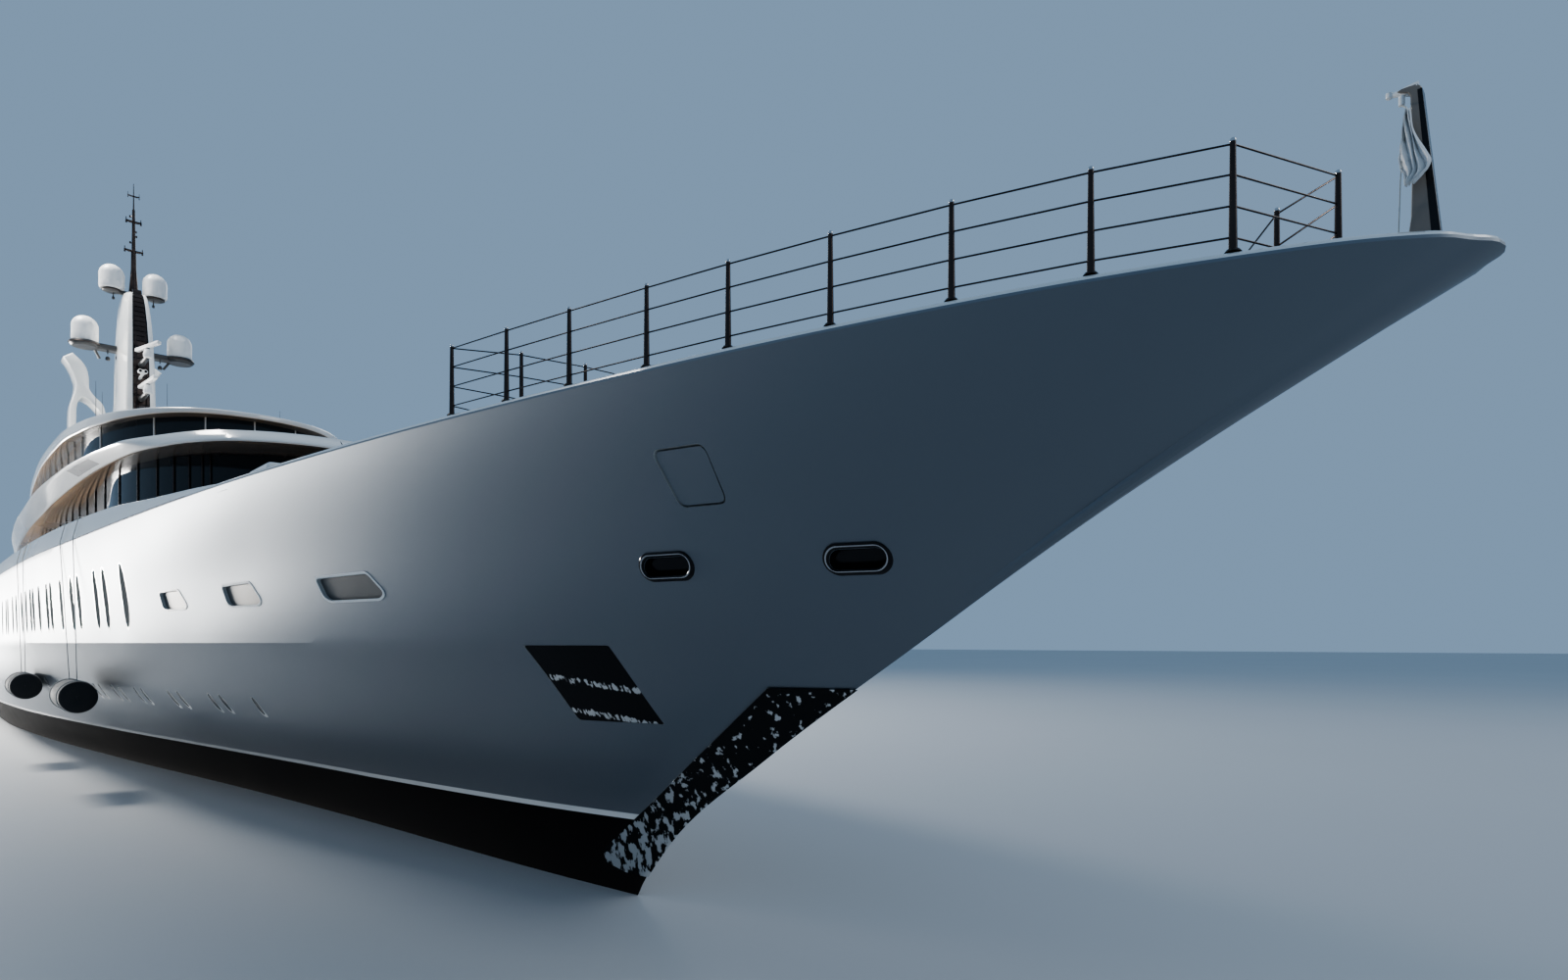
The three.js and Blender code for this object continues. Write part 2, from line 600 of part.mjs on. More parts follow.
// Aft deck over the main saloon, with posts down to the deck below and up to the bridge deck
const AFT_POSTS = [
  { aft: 101.8, y: 600, from: SCALE * AFT_DECK_UP + SEAT, to: SCALE * AFT_SLAB_UP + 1 },
  { aft: 95.8, y: 560, from: SCALE * AFT_SLAB_TOP - 1, to: SCALE * BRIDGE_DECK_UP - SEAT },
];
const aftSlab = slab(houseShape(AFT_SLAB), SCALE * AFT_SLAB_UP, SCALE * AFT_SLAB_TOP, 8);
const aftPosts = AFT_POSTS.flatMap(({ aft, y, from, to }) =>
  [-1, 1].map((side) => bar([fore(aft), side * y, from], [fore(aft), side * y, to], 9)),
);
node('upper_deck_aft', join([aftSlab, ...aftPosts]), PAINT.white);

// Mast: tower with arms, pole with crosstrees

const MAST_X = fore(MAST);
const TOWER_TOP = 3200;
const LOWER_ARM_UP = 2800;
const UPPER_ARM_UP = 3235;
const LOWER_ARM_OUT = 295;
const UPPER_ARM_OUT = 135;
const towerLow = SCALE * HARDTOP_TOP + SEAT;
const TOWER_SIDE = [[85.6, towerLow], [79.7, towerLow], [80.3, 2800], [81.5, TOWER_TOP], [83.9, TOWER_TOP], [84.9, 2800]];
const TOWER_FRONT = [[-140, 0], [140, 0], [120, 900], [95, 1300], [-95, 1300], [-120, 900]];
const towerProfile = across(polygon(TOWER_SIDE.map(([aft, z]) => [fore(aft), z])), -180, 180);
const towerFront = new THREE.ExtrudeGeometry(
  polygon(TOWER_FRONT),
  { depth: 700, bevelEnabled: false },
);
towerFront.rotateX(Math.PI / 2);
towerFront.rotateZ(Math.PI / 2);
towerFront.translate(MAST_X - 350, 0, towerLow);
const lowerArm = [-1, 1].map((side) => {
  const [near, far] = [Math.min(0, side * LOWER_ARM_OUT), Math.max(0, side * LOWER_ARM_OUT)];
  const end = [MAST_X, side * LOWER_ARM_OUT, LOWER_ARM_UP];
  return join([
    block([MAST_X - 45, near, LOWER_ARM_UP - 30], [MAST_X + 45, far, LOWER_ARM_UP]),
    bar([end[0], end[1], LOWER_ARM_UP - 30], end, 85, 100, 20),
  ]);
});
// Seen from above the tower narrows to a flat front: [aft, half breadth in mm]
const TOWER_PLAN = [[79.6, 55], [82.4, 140], [84, 140], [85.7, 105]];
const towerPlan = polygon([
  ...TOWER_PLAN.map(([aft, half]) => [fore(aft), -half]),
  ...[...TOWER_PLAN].reverse().map(([aft, half]) => [fore(aft), half]),
]);
const towerCore = towerProfile.intersect(toSolid(towerFront)).intersect(slab(towerPlan, towerLow, TOWER_TOP));
node('mast_tower', join([towerCore, ...lowerArm]), PAINT.white);

const RADOME_RADIUS = 82;
const RADOME_HEIGHT = 192;
const UPPER_SHARE = 0.97;
const domeProfile = [[0, 0], [RADOME_RADIUS * 0.93, 0], [RADOME_RADIUS, 25], [RADOME_RADIUS, RADOME_HEIGHT - RADOME_RADIUS]];
const DOME_RINGS = 5;
for (let i = 1; i <= DOME_RINGS; i += 1) {
  const turn = (i / DOME_RINGS) * (Math.PI / 2);
  domeProfile.push([RADOME_RADIUS * Math.cos(turn), RADOME_HEIGHT - RADOME_RADIUS + RADOME_RADIUS * Math.sin(turn)]);
}
const domePoints = domeProfile.map(([r, z]) => new THREE.Vector2(Math.abs(r) < 1e-6 ? 0 : r, z));
function radome(share) {
  const dome = new THREE.LatheGeometry(domePoints, 18);
  dome.scale(share, share, share);
  dome.rotateX(Math.PI / 2);
  return toSolid(dome);
}

// The pole: round lengths one above the other, then its crosstrees
const POLE = [
  { from: TOWER_TOP + SEAT, to: 3560, radius: 45, end: 20 },
  { from: 3555, to: 3880, radius: 20, end: 10 },
  { from: 3875, to: 4080, radius: 5, end: 2 },
];
const CROSSTREES = [
  { up: 3560, out: 60, half: 12, thick: 14 },
  { up: 3785, out: 50, half: 10, thick: 12 },
  { up: 3982, out: 38, half: 3, thick: 6 },
];
const poleParts = [
  ...POLE.map(({ from, to, radius, end }) => bar([MAST_X, 0, from], [MAST_X, 0, to], radius, end, 12)),
  ...CROSSTREES.map(({ up, out, half, thick }) => block([MAST_X - half, -out, up], [MAST_X + half, out, up + thick])),
];
for (const side of [-1, 1]) {
  poleParts.push(block(
    [MAST_X - 28, Math.min(0, side * UPPER_ARM_OUT), UPPER_ARM_UP - 22],
    [MAST_X + 28, Math.max(0, side * UPPER_ARM_OUT), UPPER_ARM_UP],
  ));
  poleParts.push(bar([MAST_X, side * UPPER_ARM_OUT, UPPER_ARM_UP - 22], [MAST_X, side * UPPER_ARM_OUT, UPPER_ARM_UP], 55, 62, 16));
}
node('mast_pole', join(poleParts), PAINT.bronze);

for (const [sideName, side] of [['port', 1], ['starboard', -1]]) {
  node(`radome_lower_${sideName}`, radome(1), PAINT.white, [MAST_X, side * LOWER_ARM_OUT, LOWER_ARM_UP + SEAT]);
  node(`radome_upper_${sideName}`, radome(UPPER_SHARE), PAINT.white, [MAST_X, side * UPPER_ARM_OUT, UPPER_ARM_UP + SEAT]);
}

// Radar scanners turn on pedestals that stand out from the tower's front

const SCANNERS = [
  { name: 'upper', aft: 77.2, up: 2665, half: 165, yaw: 15.5 },
  { name: 'lower', aft: 77.2, up: 2409, half: 200, yaw: 5 },
];
for (const { name, aft, up, half, yaw } of SCANNERS) {
  const x = fore(aft);
  const bracket = join([
    block([MAST_X + 100, -35, up - 60], [x + 30, 35, up - 40]),
    bar([x, 0, up - 60], [x, 0, up], 28, 22, 14),
  ]);
  node(`radar_base_${name}`, bracket.subtract(towerCore), PAINT.white);
  const beam = block([-half, -16, 8], [half, 16, 34]).rotate([0, 0, yaw]).add(bar([0, 0, 0], [0, 0, 10], 14, 14, 14));
  node(`radar_scanner_${name}`, beam, PAINT.white, [x, 0, up + 0.5]);
}

// Sculptural wings that carry the exhaust, on the hardtop's aft end

const WING_AFT = 94.2;
const WING_LONG = 300;
const WING_FOOT = SCALE * HARDTOP_TOP + SEAT;
// Outline seen from ahead: [out from the centreline, height above the hardtop] in real metres
const WING = [
  [3.05, 0], [2.9, 4.5], [2.53, 7.35], [2.58, 8.8], [2.85, 9.6], [3.27, 10.45], [2.3, 10.95],
  [2.03, 10.2], [1.62, 9.35], [1.53, 7.9], [0.95, 7.05], [0.52, 6.1], [0.34, 4.6], [0.25, 0],
  [0.95, 0], [1.05, 4.6], [1.26, 6.15], [1.75, 7], [2.1, 7.2], [2.16, 6.15], [2.25, 0],
];
const wingPlate = new THREE.ExtrudeGeometry(
  polygon(WING.map(([out, up]) => [-SCALE * out, SCALE * up])),
  { depth: WING_LONG, bevelEnabled: false },
);
wingPlate.rotateX(Math.PI / 2);
wingPlate.rotateZ(Math.PI / 2);
wingPlate.translate(fore(WING_AFT) - WING_LONG / 2, 0, WING_FOOT);
const wingStarboard = toSolid(wingPlate);
node('wing_starboard', wingStarboard, PAINT.white);
node('wing_port', mirrored(wingStarboard), PAINT.white);

// Stern: bathing platform and the door above it

const platformShape = polygon([
  [fore(TRANSOM) - SEAT, -640], [fore(116.3), -600], [fore(PLATFORM_END), -480],
  [fore(PLATFORM_END), 480], [fore(116.3), 600], [fore(TRANSOM) - SEAT, 640],
]);
node('stern_platform', slab(platformShape, 40, 95), PAINT.white);

const sternDoor = skin.intersect(sternLeaf).subtract(skin.translate([STERN_DOOR.depth - 6, 0, 0]));
node('stern_door', sternDoor, PAINT.hull);

// Propellers, shafts, rudders and fins

const PROP_AFT = 103;
const PROP_RADIUS = 165;
const propX = fore(PROP_AFT);
function propeller(hand) {
  const hub = toSolid(new THREE.CylinderGeometry(26, 20, 70, 20).rotateZ(Math.PI / 2));
  const blades = [0, 1, 2, 3, 4].map((k) => {
    const outline = new THREE.Shape();
    outline.absellipse(0, PROP_RADIUS * 0.56, PROP_RADIUS * 0.3, PROP_RADIUS * 0.44, 0, Math.PI * 2, false, 0);
    const blade = new THREE.ExtrudeGeometry(outline, { depth: 7, bevelEnabled: false, curveSegments: 8 });
    blade.translate(0, 0, -3.5);
    blade.rotateY(Math.PI / 2 + hand * 0.55);
    blade.rotateX((k * Math.PI * 2) / 5);
    return toSolid(blade);
  });
  return join([hub, ...blades]);
}

for (const [sideName, side] of [['port', 1], ['starboard', -1]]) {
  const y = side * SCALE * SCREW_OUT;
  const z = SCALE * SCREW_UP;
  node(`propeller_${sideName}`, propeller(side), PAINT.propeller, [propX, y, z]);

  const shaftEnd = [propX + 100, y, z];
  const shaftStart = [fore(91), y, z + 62];
  const strut = bar([propX + 90, y, z], [propX + 120, y * 0.8, z + 300], 9, 9, 8);
  const boss = bar([propX + 55, y, z], [propX + 130, y, z], 20, 20, 14);
  const tail = bar([propX + 110, y, z], [propX + 35.5, y, z], 11, 11, 12);
  const shaft = join([bar(shaftStart, shaftEnd, 11, 11, 12), tail, strut, boss]).subtract(hullLoft(SEAT));
  const whole = shaft.decompose().sort((a, b) => b.volume() - a.volume())[0];
  node(`shaft_${sideName}`, whole, PAINT.steel);

  const blade = polygon([[-140, -90], [110, -90], [125, 180], [-165, 180]]);
  const stockTop = BOSS_BOTTOM - SEAT - z;
  const rudder = join([
    across(blade, -12, 12),
    bar([0, 0, 170], [0, 0, stockTop], 16, 16, 12),
  ]);
  node(`rudder_${sideName}`, rudder, PAINT.hull, [fore(RUDDER_AFT), y, z]);

  const fin = new THREE.ExtrudeGeometry(polygon([[0, 0], [230, 0], [190, 190], [30, 190]]), { depth: 16, bevelEnabled: false });
  fin.translate(-115, 0, -8);
  fin.rotateX(-side * Math.PI * 0.22);
  if (side < 0) {
    fin.rotateX(Math.PI);
  }
  const finSolid = toSolid(fin).translate([fore(66), side * 540, -300]).subtract(hullLoft(SEAT));
  const finWhole = finSolid.decompose().sort((a, b) => b.volume() - a.volume())[0];
  node(`fin_${sideName}`, finWhole, PAINT.hull);
}

// Fenders hung on two ropes each against the starboard side

const FENDER_RADIUS = 0.57;
const FENDER_UP = 3.67;
const FENDER_LONG = 3.2;
const ROPE_RADIUS = 1.5;
const FENDER_CLEAR = 5;
const FENDERS = [{ name: 'fore', aft: 39.8 }, { name: 'aft', aft: 51.5 }];
for (const { name, aft } of FENDERS) {
  let out = 0;
  for (let step = -8; step <= 8; step += 1) {
    const up = FENDER_UP + (FENDER_RADIUS * step) / 8;
    const reach = Math.sqrt(Math.max(0, FENDER_RADIUS ** 2 - (up - FENDER_UP) ** 2));
    out = Math.max(out, hullOut(aft + FENDER_LONG, up) + reach);
  }
  const y = -Math.max(SCALE * out + FENDER_CLEAR, SCALE * (along(DECK_OUT, aft) - 0.05));
  const [bow, stern] = [fore(aft), fore(aft + FENDER_LONG)];
  const ropes = [aft + 0.45, aft + FENDER_LONG - 0.45].flatMap((place) => {
    const x = fore(place);
    const rail = [x, -SCALE * along(DECK_OUT, place) - 14, SCALE * along(SHEER_UP, place) + ROPE_RADIUS + SEAT + 0.6];
    return [
      bar([x, y, SCALE * FENDER_UP], rail, ROPE_RADIUS, ROPE_RADIUS, 6),
      bar([x, rail[1] - ROPE_RADIUS, rail[2]], [x, rail[1] + 40, rail[2]], ROPE_RADIUS, ROPE_RADIUS, 6),
    ];
  });
  const roll = bar([bow, y, SCALE * FENDER_UP], [stern, y, SCALE * FENDER_UP], SCALE * FENDER_RADIUS, SCALE * FENDER_RADIUS, 28);
  node(`fender_${name}`, join([roll, ...ropes]), PAINT.rubber);
}

export default group;
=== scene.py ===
"""Looks of a motor yacht scale model 1:10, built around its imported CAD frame.

X points to the bow, Y to port and Z up, in metres of the model; z = 0 is the waterline.
Tables hold real metres: "aft" is the distance aft of a mark 1.3 m ahead of the bow tip,
"out" the distance from the centreline and "up" the height above the waterline.
"""

from math import asin, atan2, ceil, copysign, cos, pi, radians, sin, sqrt
import bmesh  # noqa: E402
import bpy  # noqa: E402
from mathutils import Matrix, Vector  # noqa: E402
from mathutils.bvhtree import BVHTree  # noqa: E402


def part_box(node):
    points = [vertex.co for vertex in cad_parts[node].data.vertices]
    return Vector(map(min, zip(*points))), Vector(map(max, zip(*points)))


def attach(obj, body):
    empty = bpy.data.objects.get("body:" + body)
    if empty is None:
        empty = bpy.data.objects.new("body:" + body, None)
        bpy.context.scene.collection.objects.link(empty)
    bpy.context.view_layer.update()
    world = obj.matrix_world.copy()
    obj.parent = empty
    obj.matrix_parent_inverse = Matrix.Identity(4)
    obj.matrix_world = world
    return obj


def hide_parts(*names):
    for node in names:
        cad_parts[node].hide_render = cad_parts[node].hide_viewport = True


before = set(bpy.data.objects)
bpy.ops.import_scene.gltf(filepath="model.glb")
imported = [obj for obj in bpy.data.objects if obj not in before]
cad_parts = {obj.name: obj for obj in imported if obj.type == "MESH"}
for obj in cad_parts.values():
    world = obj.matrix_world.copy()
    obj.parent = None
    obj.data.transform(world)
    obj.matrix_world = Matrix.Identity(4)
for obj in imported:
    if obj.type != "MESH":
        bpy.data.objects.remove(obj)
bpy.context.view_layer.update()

bl_info = {
    "name": "Motor Yacht Scale Model", "version": (1, 0, 0), "blender": (4, 5, 0),
    "location": "3D View > Sidebar > Yacht",
    "description": "Builds the looks of a 1:10 motor yacht around its CAD frame", "category": "Add Mesh"
}

# Frame: real metres to model metres
SCALE = 0.1
MARK_X = 5.93

# Camera: found from the photograph's own lines
CAMERA_PLACE = (5.93, -1.13, 0.56)
CAMERA_TURN = (90.0, 0.0, 45.87)
CAMERA_LENS = 20.25
CAMERA_SHIFT_UP = 0.0975

# Levels, real metres above the waterline
KNUCKLE_UP = 5.6
AFT_DECK_UP = 6.5
SIDE_DECK_UP = 8.35
FOREDECK_UP = 9.38
BRIDGE_DECK_UP = 12.6
BRIDGE_DECK_TOP = 13.4
ROOF_TOP = 16.5
HARDTOP_UP = 18.7
HARDTOP_TOP = 19.05
BOOT_UP = 1.62

# Hull lines: (aft, value) in real metres
SHEER_UP = ((1.3, 9.68), (15, 9.62), (50, 9.35), (82, 9.35), (86, 8.9), (92, 7.7), (96, 7.4), (111, 7.4))
DECK_OUT = (
    (1.3, 0), (1.7, 0.7), (3.3, 1.65), (6.1, 2.7), (10.6, 3.87), (17.6, 5.2), (25.2, 6.25), (36, 7.25), (52, 8.25),
    (70, 8.6), (90, 8.5), (108, 7.9)
)
UPPER_OUT = (
    (5.3, 0), (7, 1.1), (10, 2.2), (15, 3.55), (20, 4.65), (25, 5.5), (36, 6.98), (52, 8.15), (70, 8.58), (90, 8.5),
    (109, 7.8)
)
KNUCKLE_OUT = (
    (8.55, 0), (10, 0.8), (15, 2.45), (20, 3.85), (25, 5), (30, 5.9), (36, 6.75), (52, 8.05), (70, 8.55), (90, 8.5),
    (110, 7.7)
)
MID_OUT = (
    (12.2, 0), (15, 1.1), (20, 2.35), (25, 3.45), (30, 4.35), (38, 5.65), (52, 7.2), (70, 8.2), (90, 8.3), (110.5, 7.5)
)
BOOT_OUT = ((15.2, 0), (20, 0.8), (30, 2), (38, 3.1), (52, 5.1), (70, 7.1), (82, 7.75), (92, 7.85), (111, 7.2))
WATER_OUT = ((16.3, 0), (20, 0.5), (30, 1.5), (38, 2.45), (52, 4.4), (70, 6.5), (82, 7.3), (92, 7.45), (111, 6.8))
KEEL_LINE = ((19.5, -5.1), (23, -5.4), (82, -5.4), (92, -3.6), (102, -1.3), (111, -0.7))
BILGE_SHARE = ((17, 0.3), (30, 0.45), (52, 0.8), (70, 0.93), (111, 0.93))
FLOOR_SHARE = ((17, 0.1), (30, 0.2), (52, 0.5), (70, 0.7), (111, 0.75))


def hermite(t, here, start, there, stop, run=1):
    """A smooth curve's value at a share t of the way, from both ends' values and slopes."""
    return (
        (2 * t**3 - 3 * t**2 + 1) * here + (t**3 - 2 * t**2 + t) * run * start
        + (3 * t**2 - 2 * t**3) * there + (t**3 - t**2) * run * stop
    )


def circle(count, closed=False):
    """Points (cos, sin) round a circle; a closed one ends where it starts."""
    turns = [2 * pi * k / count for k in range(count + closed)]
    return [(cos(turn), sin(turn)) for turn in turns]


def eased(value, power):
    """A value raised to a power with its sign kept."""
    return copysign(abs(value) ** power, value)


def shares(count):
    """Shares from 0 to 1 in equal steps."""
    return [k / count for k in range(count + 1)]


def closed_pairs(loop):
    """Each item of a closed loop with the next one."""
    return zip(loop, loop[1:] + loop[:1])


def along(table, place):
    """Smooth value at a place from a table of (place, value) rows."""
    last = len(table) - 1
    if place <= table[0][0]:
        return table[0][1]
    if place >= table[last][0]:
        return table[last][1]
    i = next(k for k, row in enumerate(table) if row[0] > place) - 1

    def rise(k):
        return (table[k + 1][1] - table[k][1]) / (table[k + 1][0] - table[k][0])

    def slope(k):
        if k in (0, last):
            return rise(min(k, last - 1))
        before, after = rise(k - 1), rise(k)
        return 0 if before * after <= 0 else 2 * before * after / (before + after)

    run = table[i + 1][0] - table[i][0]
    return hermite((place - table[i][0]) / run, table[i][1], slope(i), table[i + 1][1], slope(i + 1), run)


def keel_up(aft):
    return along(KEEL_LINE, aft)


def upper_up(aft):
    return KNUCKLE_UP + 0.47 * (along(SHEER_UP, aft) - KNUCKLE_UP)


EDGE_ROUND = 0.12  # radius of the rounded deck edge
BOOT_FORE, BOOT_RISE, STRIPE_WIDE = 3.2, 0.012, 0.14  # where the boot-top starts to rise, its rise, its stripe


def upward(length):
    return Vector((0, 0, length))


def forward(length):
    return Vector((length, 0, 0))


# Rows of the hull's skin from the keel up: where each meets stem and transom, half breadth and height
HULL_ROWS = (
    (19.5, 111, lambda aft: 0.4 * min(1, max(0, (aft - 19.5) / 4)), keel_up),
    (18.6, 111, lambda aft: along(FLOOR_SHARE, aft) * along(WATER_OUT, aft), lambda aft: keel_up(aft) * 0.93),
    (17.6, 111, lambda aft: along(BILGE_SHARE, aft) * along(WATER_OUT, aft), lambda aft: keel_up(aft) * 0.68),
    (16.8, 111, lambda aft: along(WATER_OUT, aft) * 0.97, lambda aft: keel_up(aft) * 0.26),
    (16.3, 111, lambda aft: along(WATER_OUT, aft), lambda aft: 0.0),
    (15.2, 111, lambda aft: along(BOOT_OUT, aft), lambda aft: 1.3),
    (12.2, 110.5, lambda aft: along(MID_OUT, aft), lambda aft: 3.4),
    (8.55, 110, lambda aft: along(KNUCKLE_OUT, aft), lambda aft: KNUCKLE_UP),
    (5.3, 109, lambda aft: along(UPPER_OUT, aft), upper_up),
    (1.3, 108, lambda aft: along(DECK_OUT, aft), lambda aft: along(SHEER_UP, aft) - EDGE_ROUND)
)
STEM_ROUND = (0, 0, 0, 0, 0, 0, 0, 0, 0.15, 0.45)  # radius of the stem in plan at each row
KNUCKLE_ROW = 7
ROW_SPLITS = (2, 3, 3, 3, 5, 9, 10, 10, 10)
# The knuckle is sharp amidships and fades out towards the stem: (aft, sharpness)
KNUCKLE_SHARP = ((8, 0), (11, 0.05), (14.5, 0.7), (18, 1), (111, 1))


def at(aft, out, up):
    """A place in real metres as a point of the model."""
    return Vector((MARK_X - SCALE * aft, SCALE * out, SCALE * up))


def blunted(out, behind, radius):
    """A half breadth widened near the stem so that the stem is round in plan."""
    return max(out, sqrt(max(0.0, 2 * radius * min(behind, radius) - min(behind, radius) ** 2)))


def hull_column(share):
    """Points of the port skin from keel to deck edge, at a share of the way from stem to transom."""
    knots = []
    for (stem, end, out, up), radius in zip(HULL_ROWS, STEM_ROUND):
        aft = stem + (end - stem) * share
        knots.append(at(aft, blunted(out(aft), aft - stem, radius) if share > 0 else 0.0, up(aft)))
    sharp = along(KNUCKLE_SHARP, HULL_ROWS[KNUCKLE_ROW][0] * (1 - share) + 110 * share)
    gaps = [max((b - a).length, 1e-5) for a, b in zip(knots, knots[1:])]
    rises = [(b - a) / gap for a, b, gap in zip(knots, knots[1:], gaps)]
    tangents = [rises[0]]
    for before, after, gap, gap_after in zip(rises, rises[1:], gaps, gaps[1:]):
        tangents.append((before * gap_after + after * gap) / (gap + gap_after))
    tangents.append(rises[-1])
    points = [knots[0]]
    for i, splits in enumerate(ROW_SPLITS):
        start, stop = tangents[i], tangents[i + 1]
        if i == KNUCKLE_ROW:
            start = start.lerp(rises[i], sharp)
        if i + 1 == KNUCKLE_ROW:
            stop = stop.lerp(rises[i], sharp)
        for k in range(1, splits + 1):
            points.append(hermite(k / splits, knots[i], start, knots[i + 1], stop, gaps[i]))
    stem, end, out, up = HULL_ROWS[-1]
    for k in range(1, 6):
        turn = 0.1 * pi * k
        inset = EDGE_ROUND * (1 - cos(turn))
        aft = stem + inset + (end - stem - inset) * share
        half = blunted(out(aft - inset), aft - inset - stem, STEM_ROUND[-1]) - inset
        points.append(at(aft, half if share > 0 else 0, up(aft) + EDGE_ROUND * sin(turn)))
    for point in points:
        point.y = max(0.0005 if share > 0 else 0.0, point.y)
    return points


# Sizes and colours that a user would change
LENGTH = {"precision": 4, "unit": "LENGTH"}
COLOUR = {"subtype": "COLOR", "min": 0, "max": 1}


class YachtSizes(bpy.types.PropertyGroup):
    """Sizes of the yacht's visible pieces."""

    hull_stations: bpy.props.IntProperty(
        name="Hull stations", description="Cross sections along the hull", default=240, min=60, max=400
    )
    wire_radius: bpy.props.FloatProperty(
        name="Rail wire radius", description="Radius of the foredeck rail's wires", default=0.0011, min=0.0004,
        max=0.003, **LENGTH
    )
    stanchion_radius: bpy.props.FloatProperty(
        name="Stanchion radius", description="Radius of a stanchion at its foot", default=0.0045, min=0.002, max=0.008,
        **LENGTH
    )
    window_depth: bpy.props.FloatProperty(
        name="Window depth", description="How deep the hull's windows are let in", default=0.0013, min=0.001, max=0.012,
        **LENGTH
    )
    plank_width: bpy.props.FloatProperty(
        name="Plank width", description="Width of a deck plank", default=0.008, min=0.004, max=0.02, **LENGTH
    )


class YachtColours(bpy.types.PropertyGroup):
    """Colours of the yacht's finishes."""

    hull: bpy.props.FloatVectorProperty(
        name="Hull", description="Silver paint of the topsides", default=(0.225, 0.253, 0.285), **COLOUR
    )
    white: bpy.props.FloatVectorProperty(
        name="White", description="Gloss paint of the decks' brows and the mast", default=(0.86, 0.86, 0.84), **COLOUR
    )
    # Soffit colour: painted shade, a dark copy of the white paint for faces that look down
    soffit: bpy.props.FloatVectorProperty(
        name="Soffit", description="Underside of the brows", default=(0.21, 0.2, 0.19), **COLOUR
    )
    glass: bpy.props.FloatVectorProperty(
        name="Glass", description="Tinted glass of the deckhouses", default=(0.012, 0.015, 0.018), **COLOUR
    )
    bronze: bpy.props.FloatVectorProperty(
        name="Bronze", description="Dark metal of the rail and the mast's arms", default=(0.045, 0.035, 0.032), **COLOUR
    )
    teak: bpy.props.FloatVectorProperty(name="Teak", description="Deck planks", default=(0.42, 0.27, 0.15), **COLOUR)
    floor: bpy.props.FloatVectorProperty(
        name="Floor", description="Plain pale floor of the stage", default=(0.57, 0.58, 0.59), **COLOUR
    )


# Shader node groups


class Nodes:
    """A node tree, filled node by node; net["Label"] is one of a group's own inputs."""

    def __init__(self, tree, inputs=(), outputs=()):
        """Adds a group's sockets (name, type and, if it has one, default) and its two end nodes."""
        self.tree = tree
        for way, sockets in (("INPUT", inputs), ("OUTPUT", outputs)):
            for label, kind, *default in sockets:
                socket = tree.interface.new_socket(label, in_out=way, socket_type=f"NodeSocket{kind}")
                if default:
                    socket.default_value = default[0]
        if outputs:
            self.start, self.end = tree.nodes.new("NodeGroupInput"), tree.nodes.new("NodeGroupOutput")

    def __getitem__(self, label):
        return self.start.outputs[label]

    def feed(self, socket, value):
        """Gives an input a number, a vector or a colour, or links it to another socket."""
        if isinstance(value, bpy.types.NodeSocket):
            self.tree.links.new(value, socket)
        else:
            socket.default_value = (*value, 1) if socket.type == "RGBA" and len(value) == 3 else value

    def fill(self, node, **values):
        """Feeds inputs by name, with _ for each space; a name in small letters is a setting."""
        for label, value in values.items():
            if label.islower():
                setattr(node, label, value)
            else:
                self.feed(node.inputs[label.replace("_", " ")], value)
        return node

    def put(self, kind, *values, **named):
        """A new node with its settings and inputs by name, and its first inputs in order."""
        node = self.fill(self.tree.nodes.new(kind), **named)
        for socket, value in zip(node.inputs, values):
            self.feed(socket, value)
        return node

    def math(self, operation, *values):
        return self.put("ShaderNodeMath", *values, operation=operation).outputs[0]

    def mix(self, factor, first, second):
        """A colour mix's output."""
        node = self.put("ShaderNodeMix", factor, data_type="RGBA")
        self.feed(node.inputs[6], first)
        self.feed(node.inputs[7], second)
        return node.outputs[2]

    def noise(self, vector, scale, detail, roughness):
        node = self.put("ShaderNodeTexNoise", Detail=detail, Roughness=roughness, Vector=vector, Scale=scale)
        return node.outputs["Fac"]

    def spread(self, *values):
        """A Map Range of a value from low..high to to_low..to_high, clamped."""
        return self.put("ShaderNodeMapRange", *values).outputs[0]

    def place(self):
        """The piece's own coordinates."""
        return self.put("ShaderNodeTexCoord").outputs["Object"]

    def split(self):
        return self.put("ShaderNodeSeparateXYZ", self.place()).outputs

    def dress(self, bsdf, strength, distance, Height, **sockets):
        """Feeds a height to the shader's normal, and other sockets to its inputs."""
        self.fill(bsdf, **sockets)
        bump = self.put("ShaderNodeBump", Strength=strength, Distance=distance, Height=Height)
        self.fill(bsdf, Normal=bump.outputs["Normal"])


def new_group(name, inputs, outputs):
    return Nodes(bpy.data.node_groups.new(name, "ShaderNodeTree"), inputs, outputs)


def surface_life_group():
    """Slow drift of colour and sheen, fine salt and dust, and a slight orange peel."""
    net = new_group(
        "surface_life",
        (
            ("Colour", "Color", (0.5, 0.5, 0.5, 1)), ("Second Colour", "Color", (0.4, 0.4, 0.4, 1)),
            ("Patch Scale", "Float", 4.0), ("Grain Scale", "Float", 300.0), ("Roughness", "Float", 0.3),
            ("Roughness Spread", "Float", 0.1)
        ),
        (("Colour", "Color"), ("Roughness", "Float"), ("Height", "Float"))
    )
    place = net.place()
    drift = net.noise(place, net["Patch Scale"], 3.0, 0.55)
    grain = net.noise(place, net["Grain Scale"], 2.0, 0.6)
    patch = net.spread(drift, 0.3, 0.7, 0.0, 1.0)
    mottled = net.math("MULTIPLY_ADD", grain, 0.3, net.math("MULTIPLY", patch, 0.7))
    colour = net.mix(mottled, net["Colour"], net["Second Colour"])
    swing = net.math("MULTIPLY", net.math("SUBTRACT", mottled, 0.5), net["Roughness Spread"])
    net.fill(net.end, Colour=colour, Roughness=net.math("ADD", swing, net["Roughness"]), Height=grain)
    return net.tree


